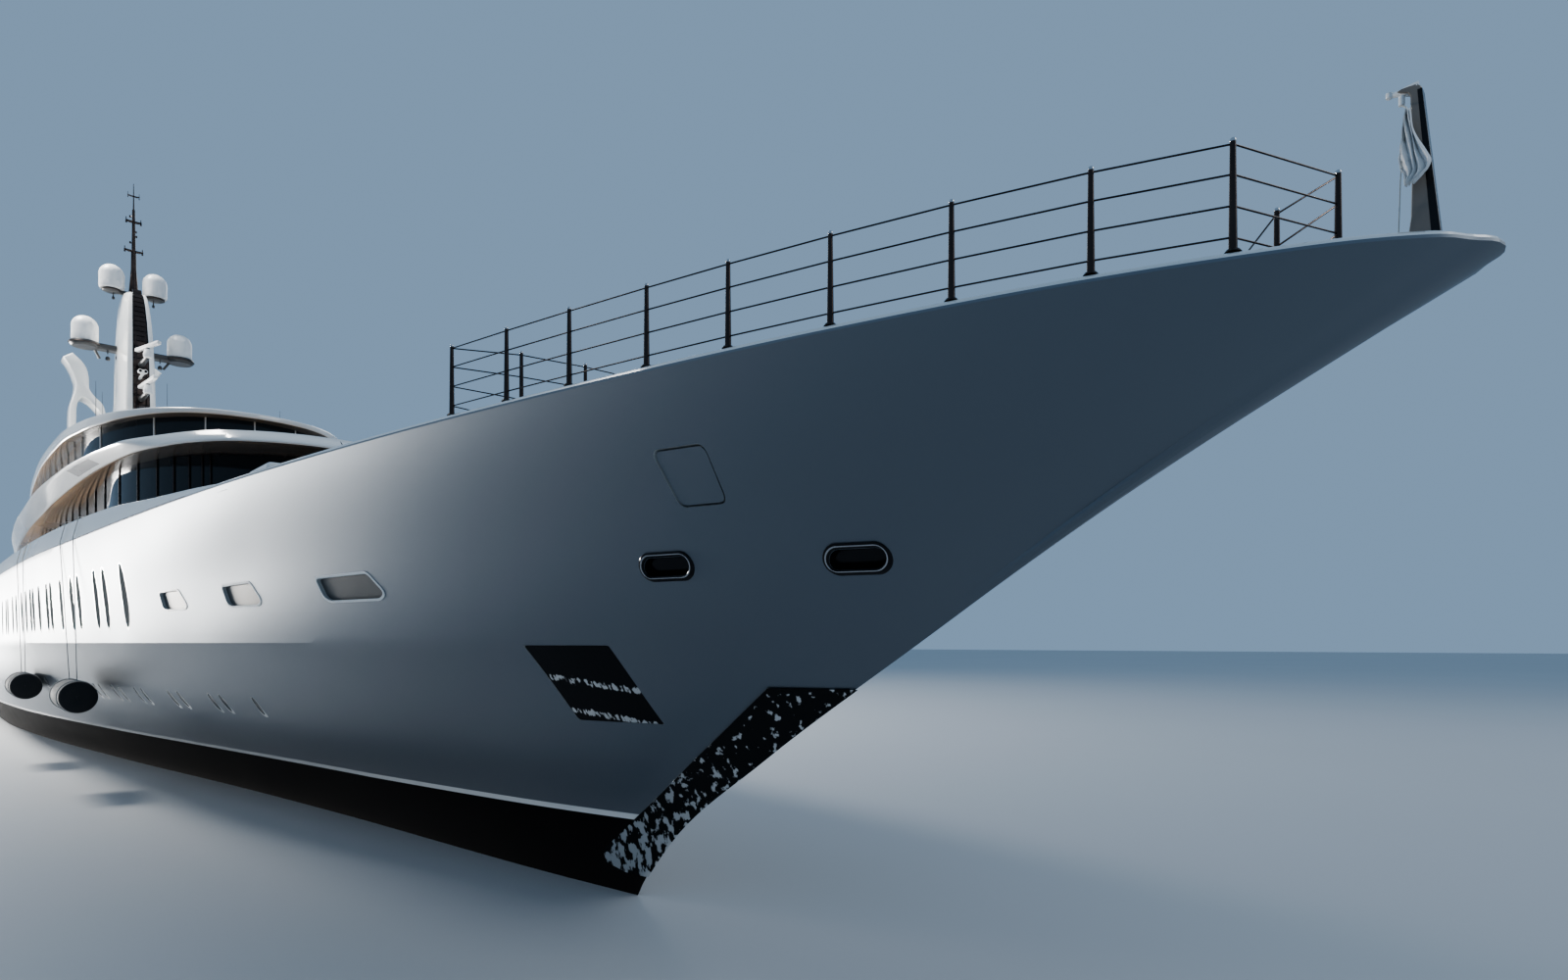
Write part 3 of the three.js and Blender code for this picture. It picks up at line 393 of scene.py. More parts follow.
def painted_glints_group():
    """Painted glints: broken bright flecks of painted reflection on dark metal, thicker where the threshold is low."""
    net = new_group(
        "glints",
        (
            ("Stretch", "Vector", (1, 1, 1)), ("Scale", "Float", 20.0), ("Threshold", "Float", 0.6),
            ("Softness", "Float", 0.04)
        ),
        (("Mask", "Float"), ("Height", "Float"))
    )
    stretch = net.put("ShaderNodeMapping", Vector=net.place(), Scale=net["Stretch"])
    broken = net.noise(stretch.outputs[0], net["Scale"], 3.0, 0.5)
    over = net.math("SUBTRACT", broken, net["Threshold"])
    share = net.math("DIVIDE", over, net["Softness"])
    net.fill(net.end, Mask=net.spread(share, 0.0, 1.0, 0.0, 1.0), Height=broken)
    return net.tree


def deck_planks_group():
    """Fore-and-aft planks with dark caulking between them and a colour of their own each."""
    net = new_group(
        "deck_planks",
        (
            ("Wood", "Color", (0.42, 0.27, 0.15, 1)), ("Dark Wood", "Color", (0.3, 0.18, 0.09, 1)),
            ("Caulking", "Color", (0.02, 0.02, 0.02, 1)), ("Plank Width", "Float", 0.008)
        ),
        (("Colour", "Color"), ("Height", "Float"))
    )
    place = net.place()
    split = net.put("ShaderNodeSeparateXYZ", place)
    row = net.math("DIVIDE", split.outputs["Y"], net["Plank Width"])
    number = net.math("FLOOR", row)
    part = net.math("FRACT", row)
    white = net.put("ShaderNodeTexWhiteNoise", noise_dimensions="1D", W=number)
    stretch = net.put("ShaderNodeMapping", Scale=(0.06, 1.0, 1.0), Vector=place)
    grain = net.noise(stretch.outputs[0], 900.0, 3.0, 0.6)
    tone = net.math("MULTIPLY_ADD", white.outputs["Value"], 0.55, net.math("MULTIPLY", grain, 0.45))
    wood = net.mix(tone, net["Wood"], net["Dark Wood"])
    seam = net.math("LESS_THAN", part, 0.12)
    net.fill(net.end, Colour=net.mix(seam, wood, net["Caulking"]), Height=net.math("MULTIPLY_ADD", seam, -1.0, grain))
    return net.tree


def weave_group():
    """Crossed threads of a woven cloth, along X and Z; the dips between threads take the Shade colour: painted shade.
    """
    net = new_group(
        "cloth_weave",
        (("Colour", "Color", (0.8, 0.8, 0.8, 1)), ("Shade", "Color", (0.6, 0.6, 0.6, 1)), ("Threads", "Float", 300.0)),
        (("Colour", "Color"), ("Height", "Float"))
    )
    split = net.split()
    threads = [net.math("SINE", net.math("MULTIPLY", split[axis], net["Threads"])) for axis in ("X", "Z")]
    height = net.math("MULTIPLY_ADD", net.math("MULTIPLY", threads[0], threads[1]), 0.5, 0.5)
    colour = net.mix(height, net["Shade"], net["Colour"])
    net.fill(net.end, Colour=colour, Height=height)
    return net.tree


# Materials

FINISHES = {}
# A finish and the record's slot for it
WHITE = ("gloss_white", "white_paint")
BRONZE = ("dark_bronze", "dark_bronze")


def shader(name, roughness=0.3, metallic=0.0, **constants):
    """A new material's nodes and its Principled BSDF with constants on its own sockets."""
    material = bpy.data.materials.new(name)
    material.use_nodes = True
    net = Nodes(material.node_tree)
    bsdf = net.fill(net.tree.nodes["Principled BSDF"], Roughness=roughness, Metallic=metallic, **constants)
    FINISHES[name] = material
    return net, bsdf


# Finishes made of surface_life alone: name, colour (or the name of a user's colour), second colour (or its
# share of that colour), patch and grain scales, roughness and its spread, bump strength and distance, constants
WORN_FINISHES = (
    ("hull_silver", "hull", 0.95, 0.9, 900, 0.46, 0.05, 0.02, 0.0002, {"metallic": 0.9, "Coat_Roughness": 0.06}),
    ("boot_black", (0.004, 0.004, 0.005), (0.008, 0.008, 0.009), 2.0, 900, 0.6, 0.1, 0.05, 0.0002,
     {"Specular_IOR_Level": 0.02}),
    ("gloss_white", "white", 0.95, 1.5, 700, 0.2, 0.08, 0.03, 0.0002, {"Coat_Weight": 0.8, "Coat_Roughness": 0.05}),
    # soffit finish: painted shade on the undersides of the white brows and decks
    ("soffit_grey", "soffit", 0.9, 2.0, 500, 0.25, 0.1, 0.03, 0.0002, {"Coat_Weight": 0.5, "Coat_Roughness": 0.1}),
    ("gloss_black", (0.006, 0.006, 0.007), (0.012, 0.012, 0.014), 6.0, 900, 0.12, 0.05, 0.02, 0.0001,
     {"Specular_IOR_Level": 0.3}),
    ("dark_bronze", "bronze", 1.6, 12.0, 1200, 0.28, 0.12, 0.04, 0.0001, {"metallic": 0.85}),
    ("polished_steel", (0.62, 0.62, 0.63), (0.55, 0.55, 0.56), 8.0, 1500, 0.14, 0.1, 0.03, 0.0001, {"metallic": 1.0}),
    ("propeller_bronze", (0.56, 0.37, 0.14), (0.46, 0.29, 0.11), 10.0, 900, 0.24, 0.14, 0.08, 0.0002,
     {"metallic": 1.0}),
    ("fender_cover", (0.013, 0.013, 0.014), (0.022, 0.021, 0.021), 9.0, 1600, 0.75, 0.2, 0.5, 0.0006,
     {"Sheen_Weight": 0.3}),
    ("satin_grey", (0.045, 0.047, 0.05), (0.065, 0.067, 0.07), 6.0, 900, 0.35, 0.15, 0.05, 0.0002, {}),
    ("warm_grey", (0.17, 0.155, 0.14), (0.21, 0.195, 0.18), 8.0, 900, 0.35, 0.12, 0.04, 0.0002, {}),
    # Dark grey for the backs of the bulwark openings: painted shade
    ("recess_grey", (0.085, 0.085, 0.082), (0.11, 0.11, 0.105), 5.0, 700, 0.35, 0.1, 0.05, 0.0002, {}),
    ("radome_white", (0.80, 0.81, 0.81), (0.74, 0.75, 0.75), 5.0, 800, 0.34, 0.08, 0.05, 0.0002, {}),
    ("rope_fibre", (0.55, 0.55, 0.52), (0.35, 0.35, 0.33), 60.0, 2500, 0.8, 0.15, 0.6, 0.0005, {}),
    ("recess_white", (0.55, 0.55, 0.53), (0.48, 0.48, 0.46), 5.0, 700, 0.35, 0.1, 0.05, 0.0002, {}),
    ("dark_glass", "glass", 1.7, 1.2, 60, 0.05, 0.03, 0.01, 0.0001,
     {"Specular_IOR_Level": 0.3, "Coat_Weight": 0.15, "Coat_Roughness": 0.02}),
    ("window_grey", (0.17, 0.17, 0.165), (0.21, 0.21, 0.2), 2.5, 200, 0.3, 0.05, 0.01, 0.0001,
     {"Specular_IOR_Level": 0.0}),
    ("stage_floor", "floor", 0.97, 0.4, 40, 0.6, 0.05, 0.02, 0.001, {}),
)


def make_finishes(colours, sizes):
    """Builds every material once."""
    life = surface_life_group()
    for name, colour, second, patch, grain, roughness, swing, strength, distance, constants in WORN_FINISHES:
        if isinstance(colour, str):
            colour = tuple(getattr(colours, colour))
            second = tuple(second * c for c in colour)
        net, bsdf = shader(name, roughness, **constants)
        looks = net.put(
            "ShaderNodeGroup", node_tree=life, Colour=colour, Second_Colour=second, Patch_Scale=patch,
            Grain_Scale=grain, Roughness=roughness, Roughness_Spread=swing
        ).outputs
        net.dress(bsdf, strength, distance, looks["Height"], Base_Color=looks["Colour"], Roughness=looks["Roughness"])
    glints = painted_glints_group()
    # Polished plates with painted reflections: a dark base colour for the dark surroundings they mirror, and bright
    # painted glints on it
    for name, stretch, scale, softness in (
        ("stem_mirror", (0.8, 1, 0.45), 75.0, 0.05), ("plate_mirror", (1.0, 0.6, 0.3), 150.0, 0.06)
    ):
        net, bsdf = shader(name, 0.08, 0.95)
        split = net.split()
        node = net.put("ShaderNodeGroup", node_tree=glints, Stretch=stretch, Scale=scale, Softness=softness)
        if name == "stem_mirror":
            # Painted glints grow thicker towards the bottom of the stem plate
            threshold = net.spread(split["Z"], 0.08, 0.42, 0.46, 0.62)
        else:
            # Two sloping rows of painted glints across the pocket plate
            height = net.math("MULTIPLY_ADD", split["X"], 0.12, split["Z"])
            off = [net.math("ABSOLUTE", net.math("SUBTRACT", height, row)) for row in (1.011, 0.945)]
            threshold = net.spread(net.math("MINIMUM", *off), 0.004, 0.012, 0.46, 0.8)
        net.fill(node, Threshold=threshold)
        # Base colour: dark painted reflection mixed with bright painted glints
        colour = net.mix(node.outputs["Mask"], (0.022, 0.024, 0.026), (0.85, 0.86, 0.85))
        net.dress(bsdf, 0.25, 0.001, node.outputs["Height"], Base_Color=colour)
    teak = tuple(colours.teak)
    for name, roughness, constants, group, relief, values in (
        ("teak_deck", 0.55, {}, deck_planks_group(), 0.0004,
         {"Wood": teak, "Dark_Wood": tuple(0.7 * c for c in teak), "Caulking": (0.015, 0.014, 0.013),
          "Plank_Width": sizes.plank_width}),
        ("flag_cloth", 0.85, {"Sheen_Weight": 0.4}, weave_group(), 0.0001,
         {"Colour": (0.92, 0.92, 0.91), "Shade": (0.8, 0.8, 0.8), "Threads": 9000.0}),
    ):
        net, bsdf = shader(name, roughness, **constants)
        looks = net.put("ShaderNodeGroup", node_tree=group, **values).outputs
        net.dress(bsdf, 0.4, relief, looks["Height"], Base_Color=looks["Colour"])


# Mesh helpers


def settle(obj, angle=35.0):
    """Smooth faces with sharp edges above an angle."""
    obj.data.shade_smooth()
    obj.data.set_sharp_from_angle(angle=radians(angle))
    return obj


def new_piece(name, vertices, faces, finishes, body="yacht", angle=35.0, picks=None, edges=()):
    """A mesh object from points and faces, with its materials, riding on a body."""
    mesh = bpy.data.meshes.new(name)
    mesh.from_pydata([tuple(v) for v in vertices], edges, faces)
    mesh.validate()
    for finish in [finishes] if isinstance(finishes, str) else finishes:
        mesh.materials.append(FINISHES[finish])
    if picks:
        mesh.polygons.foreach_set("material_index", picks)
    obj = bpy.data.objects.new(name, mesh)
    bpy.context.scene.collection.objects.link(obj)
    settle(obj, angle)
    if body:
        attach(obj, body)
    return obj


def tidy_mesh(obj, distance=1e-6, angle=35.0):
    """Merges doubles, drops empty faces and turns faces outward."""
    work = bmesh.new()
    work.from_mesh(obj.data)
    bmesh.ops.remove_doubles(work, verts=work.verts, dist=distance)
    bmesh.ops.dissolve_degenerate(work, edges=work.edges, dist=distance)
    bmesh.ops.recalc_face_normals(work, faces=work.faces)
    work.to_mesh(obj.data)
    work.free()
    obj.data.update()
    return settle(obj, angle)


def evaluated_mesh(obj):
    """The object's mesh with its modifiers applied, which are then removed."""
    graph = bpy.context.evaluated_depsgraph_get()
    mesh = bpy.data.meshes.new_from_object(obj.evaluated_get(graph), depsgraph=graph)
    old = obj.data
    obj.modifiers.clear()
    obj.data = mesh
    mesh.name = obj.name
    bpy.data.meshes.remove(old)
    return obj


def scored(obj, *planes):
    """Cuts a piece's faces along planes (point, normal) without taking anything away."""
    mesh = bmesh.new()
    mesh.from_mesh(obj.data)
    for place, normal in planes:
        bmesh.ops.bisect_plane(
            mesh, geom=mesh.verts[:] + mesh.edges[:] + mesh.faces[:], dist=1e-6, plane_co=place, plane_no=normal
        )
    mesh.to_mesh(obj.data)
    mesh.free()


def boolean(obj, cutter, operation="DIFFERENCE"):
    """Cuts, joins or intersects obj with another closed piece."""
    bpy.context.view_layer.update()
    step = obj.modifiers.new("cut", "BOOLEAN")
    step.operation = operation
    step.solver = "MANIFOLD"
    step.object = cutter
    evaluated_mesh(obj)
    bpy.data.objects.remove(cutter)
    if not obj.data.polygons:
        raise RuntimeError(f"{obj.name}: nothing is left after a cut")
    return obj


def finish(obj, slot, *nodes):
    """Hides the CAD nodes that a piece stands for; the record's slot is not used."""
    if nodes:
        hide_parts(*nodes)
    return obj


class Builder:
    """Gathers points and faces of one piece, each face with a material number."""

    def __init__(self):
        self.points, self.faces, self.picks = [], [], []

    def add(self, points, faces, pick=0):
        base = len(self.points)
        self.points.extend(points)
        self.faces.extend([tuple(base + i for i in face) for face in faces])
        self.picks.extend([pick] * len(faces))

    def loft(self, rings, pick=0, caps=(True, True)):
        """Quads between rings of equal length; a "strips" cap goes straight across mirrored rings."""
        count = len(rings[0])
        last = (len(rings) - 1) * count
        faces = [
            (row + k, row + (k + 1) % count, row + count + (k + 1) % count, row + count + k)
            for row in range(0, last, count) for k in range(count)
        ]
        if caps[0]:
            faces.append(tuple(reversed(range(count))))
        if caps[1] == "strips":
            faces += [
                (last + k, last + k + 1, last + count - 2 - k, last + count - 1 - k) for k in range(count // 2 - 1)
            ]
        elif caps[1]:
            faces.append(tuple(range(last, last + count)))
        self.add([p for ring in rings for p in ring], faces, pick)

    def tube(self, path, radius, sides=10, pick=0):
        """A round tube along a path, radius a number or one for each point."""
        radii = radius if isinstance(radius, (list, tuple)) else [radius] * len(path)
        path = [Vector(p) for p in path]
        rings = []
        normal = None
        for i, point in enumerate(path):
            ahead = (path[min(i + 1, len(path) - 1)] - path[max(i - 1, 0)]).normalized()
            if normal is None:
                pole = upward(1) if abs(ahead.z) < 0.9 else forward(1)
                normal = ahead.cross(pole).normalized()
            normal = (normal - ahead * normal.dot(ahead)).normalized()
            side = ahead.cross(normal)
            rings.append([point + radii[i] * (normal * c + side * s) for c, s in circle(sides)])
        self.loft(rings, pick)

    def prism(self, outline, vector):
        """A flat outline carried along a vector."""
        self.loft([outline, [p + Vector(vector) for p in outline]])

    def lathe(self, profile, centre, axis="Z", sides=32, pick=0):
        """A profile of (radius, height) turned about an axis through a centre."""
        rings = []
        for radius, height in profile:
            ring = [(max(radius, 1e-5) * c, max(radius, 1e-5) * s) for c, s in circle(sides)]
            rings.append([Vector(centre) + Vector((a, b, height) if axis == "Z" else (height, a, b)) for a, b in ring])
        self.loft(rings, pick)

    def piece(self, name, finishes, slot=None, *nodes, body="yacht", angle=35.0, rule=None):
        """The gathered faces as one object, painted by a rule if one is given, with its CAD nodes hidden if a slot is
        given.
        """
        picks = self.picks if not isinstance(finishes, str) else None
        obj = tidy_mesh(new_piece(name, self.points, self.faces, finishes, body, angle, picks), angle=angle)
        if rule:
            paint_by(obj, finishes, rule)
        return finish(obj, slot, *nodes) if slot else obj


def mirrored(points):
    """The points on the other side, from the last to the first."""
    return [Vector((p[0], -p[1], p[2])) for p in reversed(points)]


def rounded_corners(corners, radius):
    """A flat polygon's outline with each corner rounded by a radius."""
    result = []
    for before, here, after in zip(corners[-1:] + corners[:-1], corners, corners[1:] + corners[:1]):
        reach = min(radius, 0.45 * (here - before).length, 0.45 * (after - here).length)
        start = here + (before - here).normalized() * reach
        stop = here + (after - here).normalized() * reach
        result += [(1 - t) ** 2 * start + 2 * t * (1 - t) * here + t**2 * stop for t in shares(5)]
    return result


# The hull's skin, shared by everything that sits on it

SKIN = {}
SIDES = ((-1, "starboard"), (1, "port"))


def hull_solid(name, stations, grow=0.0, ahead=0.0):
    """The uncut hull as one closed loft, its sides moved out and the whole moved ahead."""
    work = Builder()
    rings = []
    for share in shares(stations):
        column = hull_column(share**1.5)
        for point in column:
            point.x += ahead + (0 if share else 1.5 * grow)
            point.y += grow if share else 0
        column[0].z -= grow
        rings.append(column + mirrored(column))
    work.loft(rings, caps=(False, "strips"))
    return work.piece(name, "hull_silver", body=None, angle=14)


def tree_of(obj):
    mesh = obj.data
    return BVHTree.FromPolygons([v.co for v in mesh.vertices], [p.vertices[:] for p in mesh.polygons])


def skin_out(x, z):
    """Distance from the centreline to the hull's skin at a place along and a height."""
    hit = SKIN["tree"].ray_cast(Vector((x, 3.0, z)), Vector((0, -1, 0)))[0]
    if hit is None:
        raise RuntimeError(f"no hull at x {x:.3f} z {z:.3f}")
    return hit.y


def on_side(corners):
    """Corners (aft, up) in real metres as places (x, z) of the model."""
    return [Vector((MARK_X - SCALE * aft, SCALE * up)) for aft, up in corners]


def grown(outline, distance):
    """An outline (x, z) moved outward by a distance all round."""
    turn = sum(a.x * b.y - b.x * a.y for a, b in closed_pairs(outline))
    sign = 1 if turn > 0 else -1
    result = []
    for i, here in enumerate(outline):
        before = (here - outline[i - 1]).normalized()
        after = (outline[(i + 1) % len(outline)] - here).normalized()
        mean = before + after
        normal = sign * Vector((mean.y, -mean.x)).normalized()
        result.append(here + normal * (distance / max(0.5, abs(mean.length) / 2)))
    return result


def outline_rows(outline, step, columns):
    """Rows of places (x, z) across a convex outline, from its lowest corner to its highest."""
    levels = sorted({round(p.y, 6) for p in outline})
    heights = []
    for low, high in zip(levels, levels[1:]):
        count = max(1, ceil((high - low) / step))
        heights += [low + (high - low) * k / count for k in range(count)]
    heights.append(levels[-1])
    rows = []
    for z in heights:
        crossings = []
        for a, b in closed_pairs(outline):
            low, high = sorted((a.y, b.y))
            if high - low < 1e-7:
                if abs(z - low) < 2e-6:
                    crossings += [a.x, b.x]
            elif low - 2e-6 <= z <= high + 2e-6:
                crossings.append(a.x + (b.x - a.x) * min(1, max(0, (z - a.y) / (b.y - a.y))))
        start, stop = min(crossings), max(crossings)
        rows.append([(start + (stop - start) * k / columns, z) for k in range(columns + 1)])
    return rows


def skin_plate(work, outline, outer, inner, side, columns=6, step=0.012):
    """A plate between two distances out from the hull's skin, filling an outline (x, z)."""
    rows = outline_rows(outline, step, columns)
    wide = columns + 1
    count = wide * len(rows)
    faces = []
    for a in (start + c for start in range(0, count - wide, wide) for c in range(columns)):
        quad = (a, a + 1, a + wide + 1, a + wide)
        faces += [quad, tuple(count + i for i in reversed(quad))]
    rim = [*range(columns), *range(columns, count, wide), *range(count - 2, count - wide, -1)]
    rim += reversed(range(wide, count, wide))
    faces += [(a, b, count + b, count + a) for a, b in closed_pairs(rim)]
    work.add([
        Vector((x, side * (skin_out(x, z) + offset), z)) for offset in (outer, inner) for row in rows for x, z in row
    ], faces)


def skin_frame(work, outline, section, side, pick=0, rim=None):
    """A frame round an outline (x, z); section holds (distance outward in the skin, distance off it)."""
    heights = [p.y for p in outline]
    low, high = min(heights), max(heights)
    shifted, rings = {}, []
    for i, here in enumerate(outline):
        share = (here.y - low) / (high - low)
        wider = rim[0] + rim[1] * max(0, 1 - share / rim[2]) if rim else 1.0
        ring = []
        for across, off in section:
            wide = across * wider
            if wide not in shifted:
                shifted[wide] = grown(outline, wide)
            place = shifted[wide][i]
            ring.append(Vector((place.x, side * (skin_out(place.x, place.y) + off), place.y)))
        rings.append(ring)
    work.loft(rings + [rings[0]], pick, caps=(False, False))


def flat_section(width, proud, sink):
    return [(0, proud), (width, proud), (width, -sink), (0, -sink)]


def round_section(radius, centre, sides=8):
    """A round bead whose centre lies outward of the outline."""
    return [(centre + radius * c, radius * s) for c, s in circle(sides)]


def stadium(aft, up, long, high, steps=10):
    """Outline (x, z) of a slot with round ends, its upper edge leaning ahead."""
    radius, half = SCALE * high / 2, SCALE * (long - high) / 2
    centre = Vector((MARK_X - SCALE * aft, SCALE * up))
    result = []
    for way in (1, -1):
        for k in range(steps + 1):
            turn = pi * (k / steps - 0.5) + (0 if way == 1 else pi)
            height = radius * sin(turn)
            result.append(centre + Vector((way * half + radius * cos(turn) + 0.5 * height, height)))
    return result


def lens(aft, low, high, width, lean, count=26):
    """Outline (x, z) of an upright lens with blunt tips; lean moves its foot aft and its head ahead."""
    result = []
    for k in range(count):
        turn = 2 * pi * (k + 0.5) / count
        side, rise = eased(cos(turn), 0.75), eased(sin(turn), 0.95)
        place = aft - lean * rise - side * width / 2
        result.append(Vector((MARK_X - SCALE * place, SCALE * ((low + high) / 2 + rise * (high - low) / 2))))
    return result


# Openings and fittings in the hull's sides, in real metres (aft, up)
STEM_PLATE = ((9.4, 4.8), (11.3, 4.8), (14, 3.05), (15.86, 1.86), (17.25, 0.9), (17.2, 0.62), (16.6, 0.48), (9.4, 0.48))
POCKET = ((16.25, 5.55), (14.15, 5.55), (13.8, 4.03), (15.88, 4.03))
SHELL_DOOR = ((11.18, 8.56), (10.2, 8.56), (10.32, 7.74), (11.2, 7.74))
CUTTER_OUT = 0.03  # how far a cutter stands out of the hull, model metres
DOOR_GAP = 0.003  # round a door's leaf; the next three are at its hinge, its head and its face
HINGE_GAP = 0.0006
LEAF_HEAD_GAP = 0.0028
LEAF_SINK = 0.0016
FAIRLEADS = (("fore", 8.75, 6.86, 0.84, 0.29), ("aft", 12.03, 6.88, 0.9, 0.3))
BULWARK_OPENINGS = (
    ((22.1, 7.07), (19.98, 7.1), (19.65, 6.68), (19.85, 6.57), (21.8, 6.57), (22.0, 6.66)),
    ((27.1, 7.08), (25.4, 7.11), (25.05, 6.66), (25.25, 6.57), (26.8, 6.57), (27.0, 6.65)),
    ((31.6, 7.07), (30.1, 7.1), (29.7, 6.66), (29.9, 6.58), (31.3, 6.58), (31.5, 6.65))
)
TALL_WINDOWS = (
    34.8, 37.0, 38.2, 40.7, 41.8, 43.65, 45.6, 46.45, 48.3, 49.9, 50.7, 52.2, 53.7, 55.9, 57.4, 59.6, 60.5, 62.5, 64.6,
    65.5
)
LOW_WINDOWS = (28.85, 31.0, 31.75, 34.13, 34.92, 37.46, 38.2, 40.0, 40.82, 42.5, 43.25, 46.0, 46.8, 49.2, 52.1, 54.4)
# Wells cut down to each deck: (start, stop, inset, deck level)
DECK_WELLS = ((3.1, 38, 0.32, FOREDECK_UP), (38.4, 84, 0.35, SIDE_DECK_UP), (84.4, 107.3, 0.35, AFT_DECK_UP))
STERN_DOOR = (2.8, 1.5, 4.3, 0.016)  # half breadth, lower and upper edge, depth


def tall_window(aft):
    return lens(aft, 6.1, 8.13 - 0.012 * max(0, aft - 34.8), 0.62, 0.15)


def low_window(aft):
    return lens(aft, 3.5, 4.05, 0.24, 0.12, count=16)


# Window shapes: outline, places, columns of a cutter and rim (its width, what its foot adds, share of the foot)
WINDOWS = ((tall_window, TALL_WINDOWS, 4, (0.0018, 0.008, 0.07)), (low_window, LOW_WINDOWS, 3, (0.001, 0.007, 0.35)))


def door_leaf(corners):
    """The shell door's own outline inside its opening; its upper edge is the hinge."""
    places = on_side(corners)
    middle = sum(places, Vector((0, 0))) / len(places)
    return [
        Vector((p.x - copysign(DOOR_GAP, p.x - middle.x), p.y - LEAF_HEAD_GAP if p.y > middle.y else p.y + DOOR_GAP))
        for p in places
    ]


# Faces that look down take the soffit finish: painted shade
def underside_shade_rule(centre, normal):
    return int(normal.z < -0.85)


def staff_rule(centre, normal):
    return int(normal.x > 0.5)


def tower_rule(centre, normal):
    return int(normal.x > 0.7 and abs(centre.y) < 0.03)


def planks_rule(centre, normal):
    return int(normal.z > 0.99)


def deck_loop(start, stop, inset, up):
    """Outline of the deck between two places, inset from the hull's edge."""
    places = [start + (stop - start) * k / 60 for k in range(61)]
    side = [at(aft, along(DECK_OUT, aft) - inset, up) for aft in places]
    return mirrored(side[::-1]) + side[::-1]


def block(work, low, high):
    """A box between two corners."""
    (x0, y0, z0), (x1, y1, z1) = low, high
    work.loft([[Vector((x, y, z)) for x, y in ((x0, y0), (x1, y0), (x1, y1), (x0, y1))] for z in (z0, z1)])


def paint_by(obj, finishes, rule):
    """Gives each face the finish whose number rule(centre, normal) returns."""
    obj.data.materials.clear()
    for name in finishes:
        obj.data.materials.append(FINISHES[name])
    obj.data.polygons.foreach_set("material_index", [rule(p.center, p.normal) for p in obj.data.polygons])
    obj.data.update()


class YACHT_OT_camera(bpy.types.Operator):
    """Places the camera where the photograph was taken"""
    bl_idname = "yacht.camera"
    bl_label = "Camera"

    def execute(self, context):
        data = bpy.data.cameras.new("photo_camera")
        data.lens = CAMERA_LENS
        data.sensor_width = 36
        data.sensor_fit = "HORIZONTAL"
        data.shift_y = CAMERA_SHIFT_UP
        data.clip_end = 500
        camera = bpy.data.objects.new("photo_camera", data)
        camera.location = CAMERA_PLACE
        camera.rotation_euler = [radians(turn) for turn in CAMERA_TURN]
        context.scene.collection.objects.link(camera)
        context.scene.camera = camera
        return {"FINISHED"}


class YACHT_OT_finishes(bpy.types.Operator):
    """Makes every material once"""
    bl_idname = "yacht.finishes"
    bl_label = "Finishes"

    def execute(self, context):
        make_finishes(context.scene.yacht_colours, context.scene.yacht_sizes)
        return {"FINISHED"}


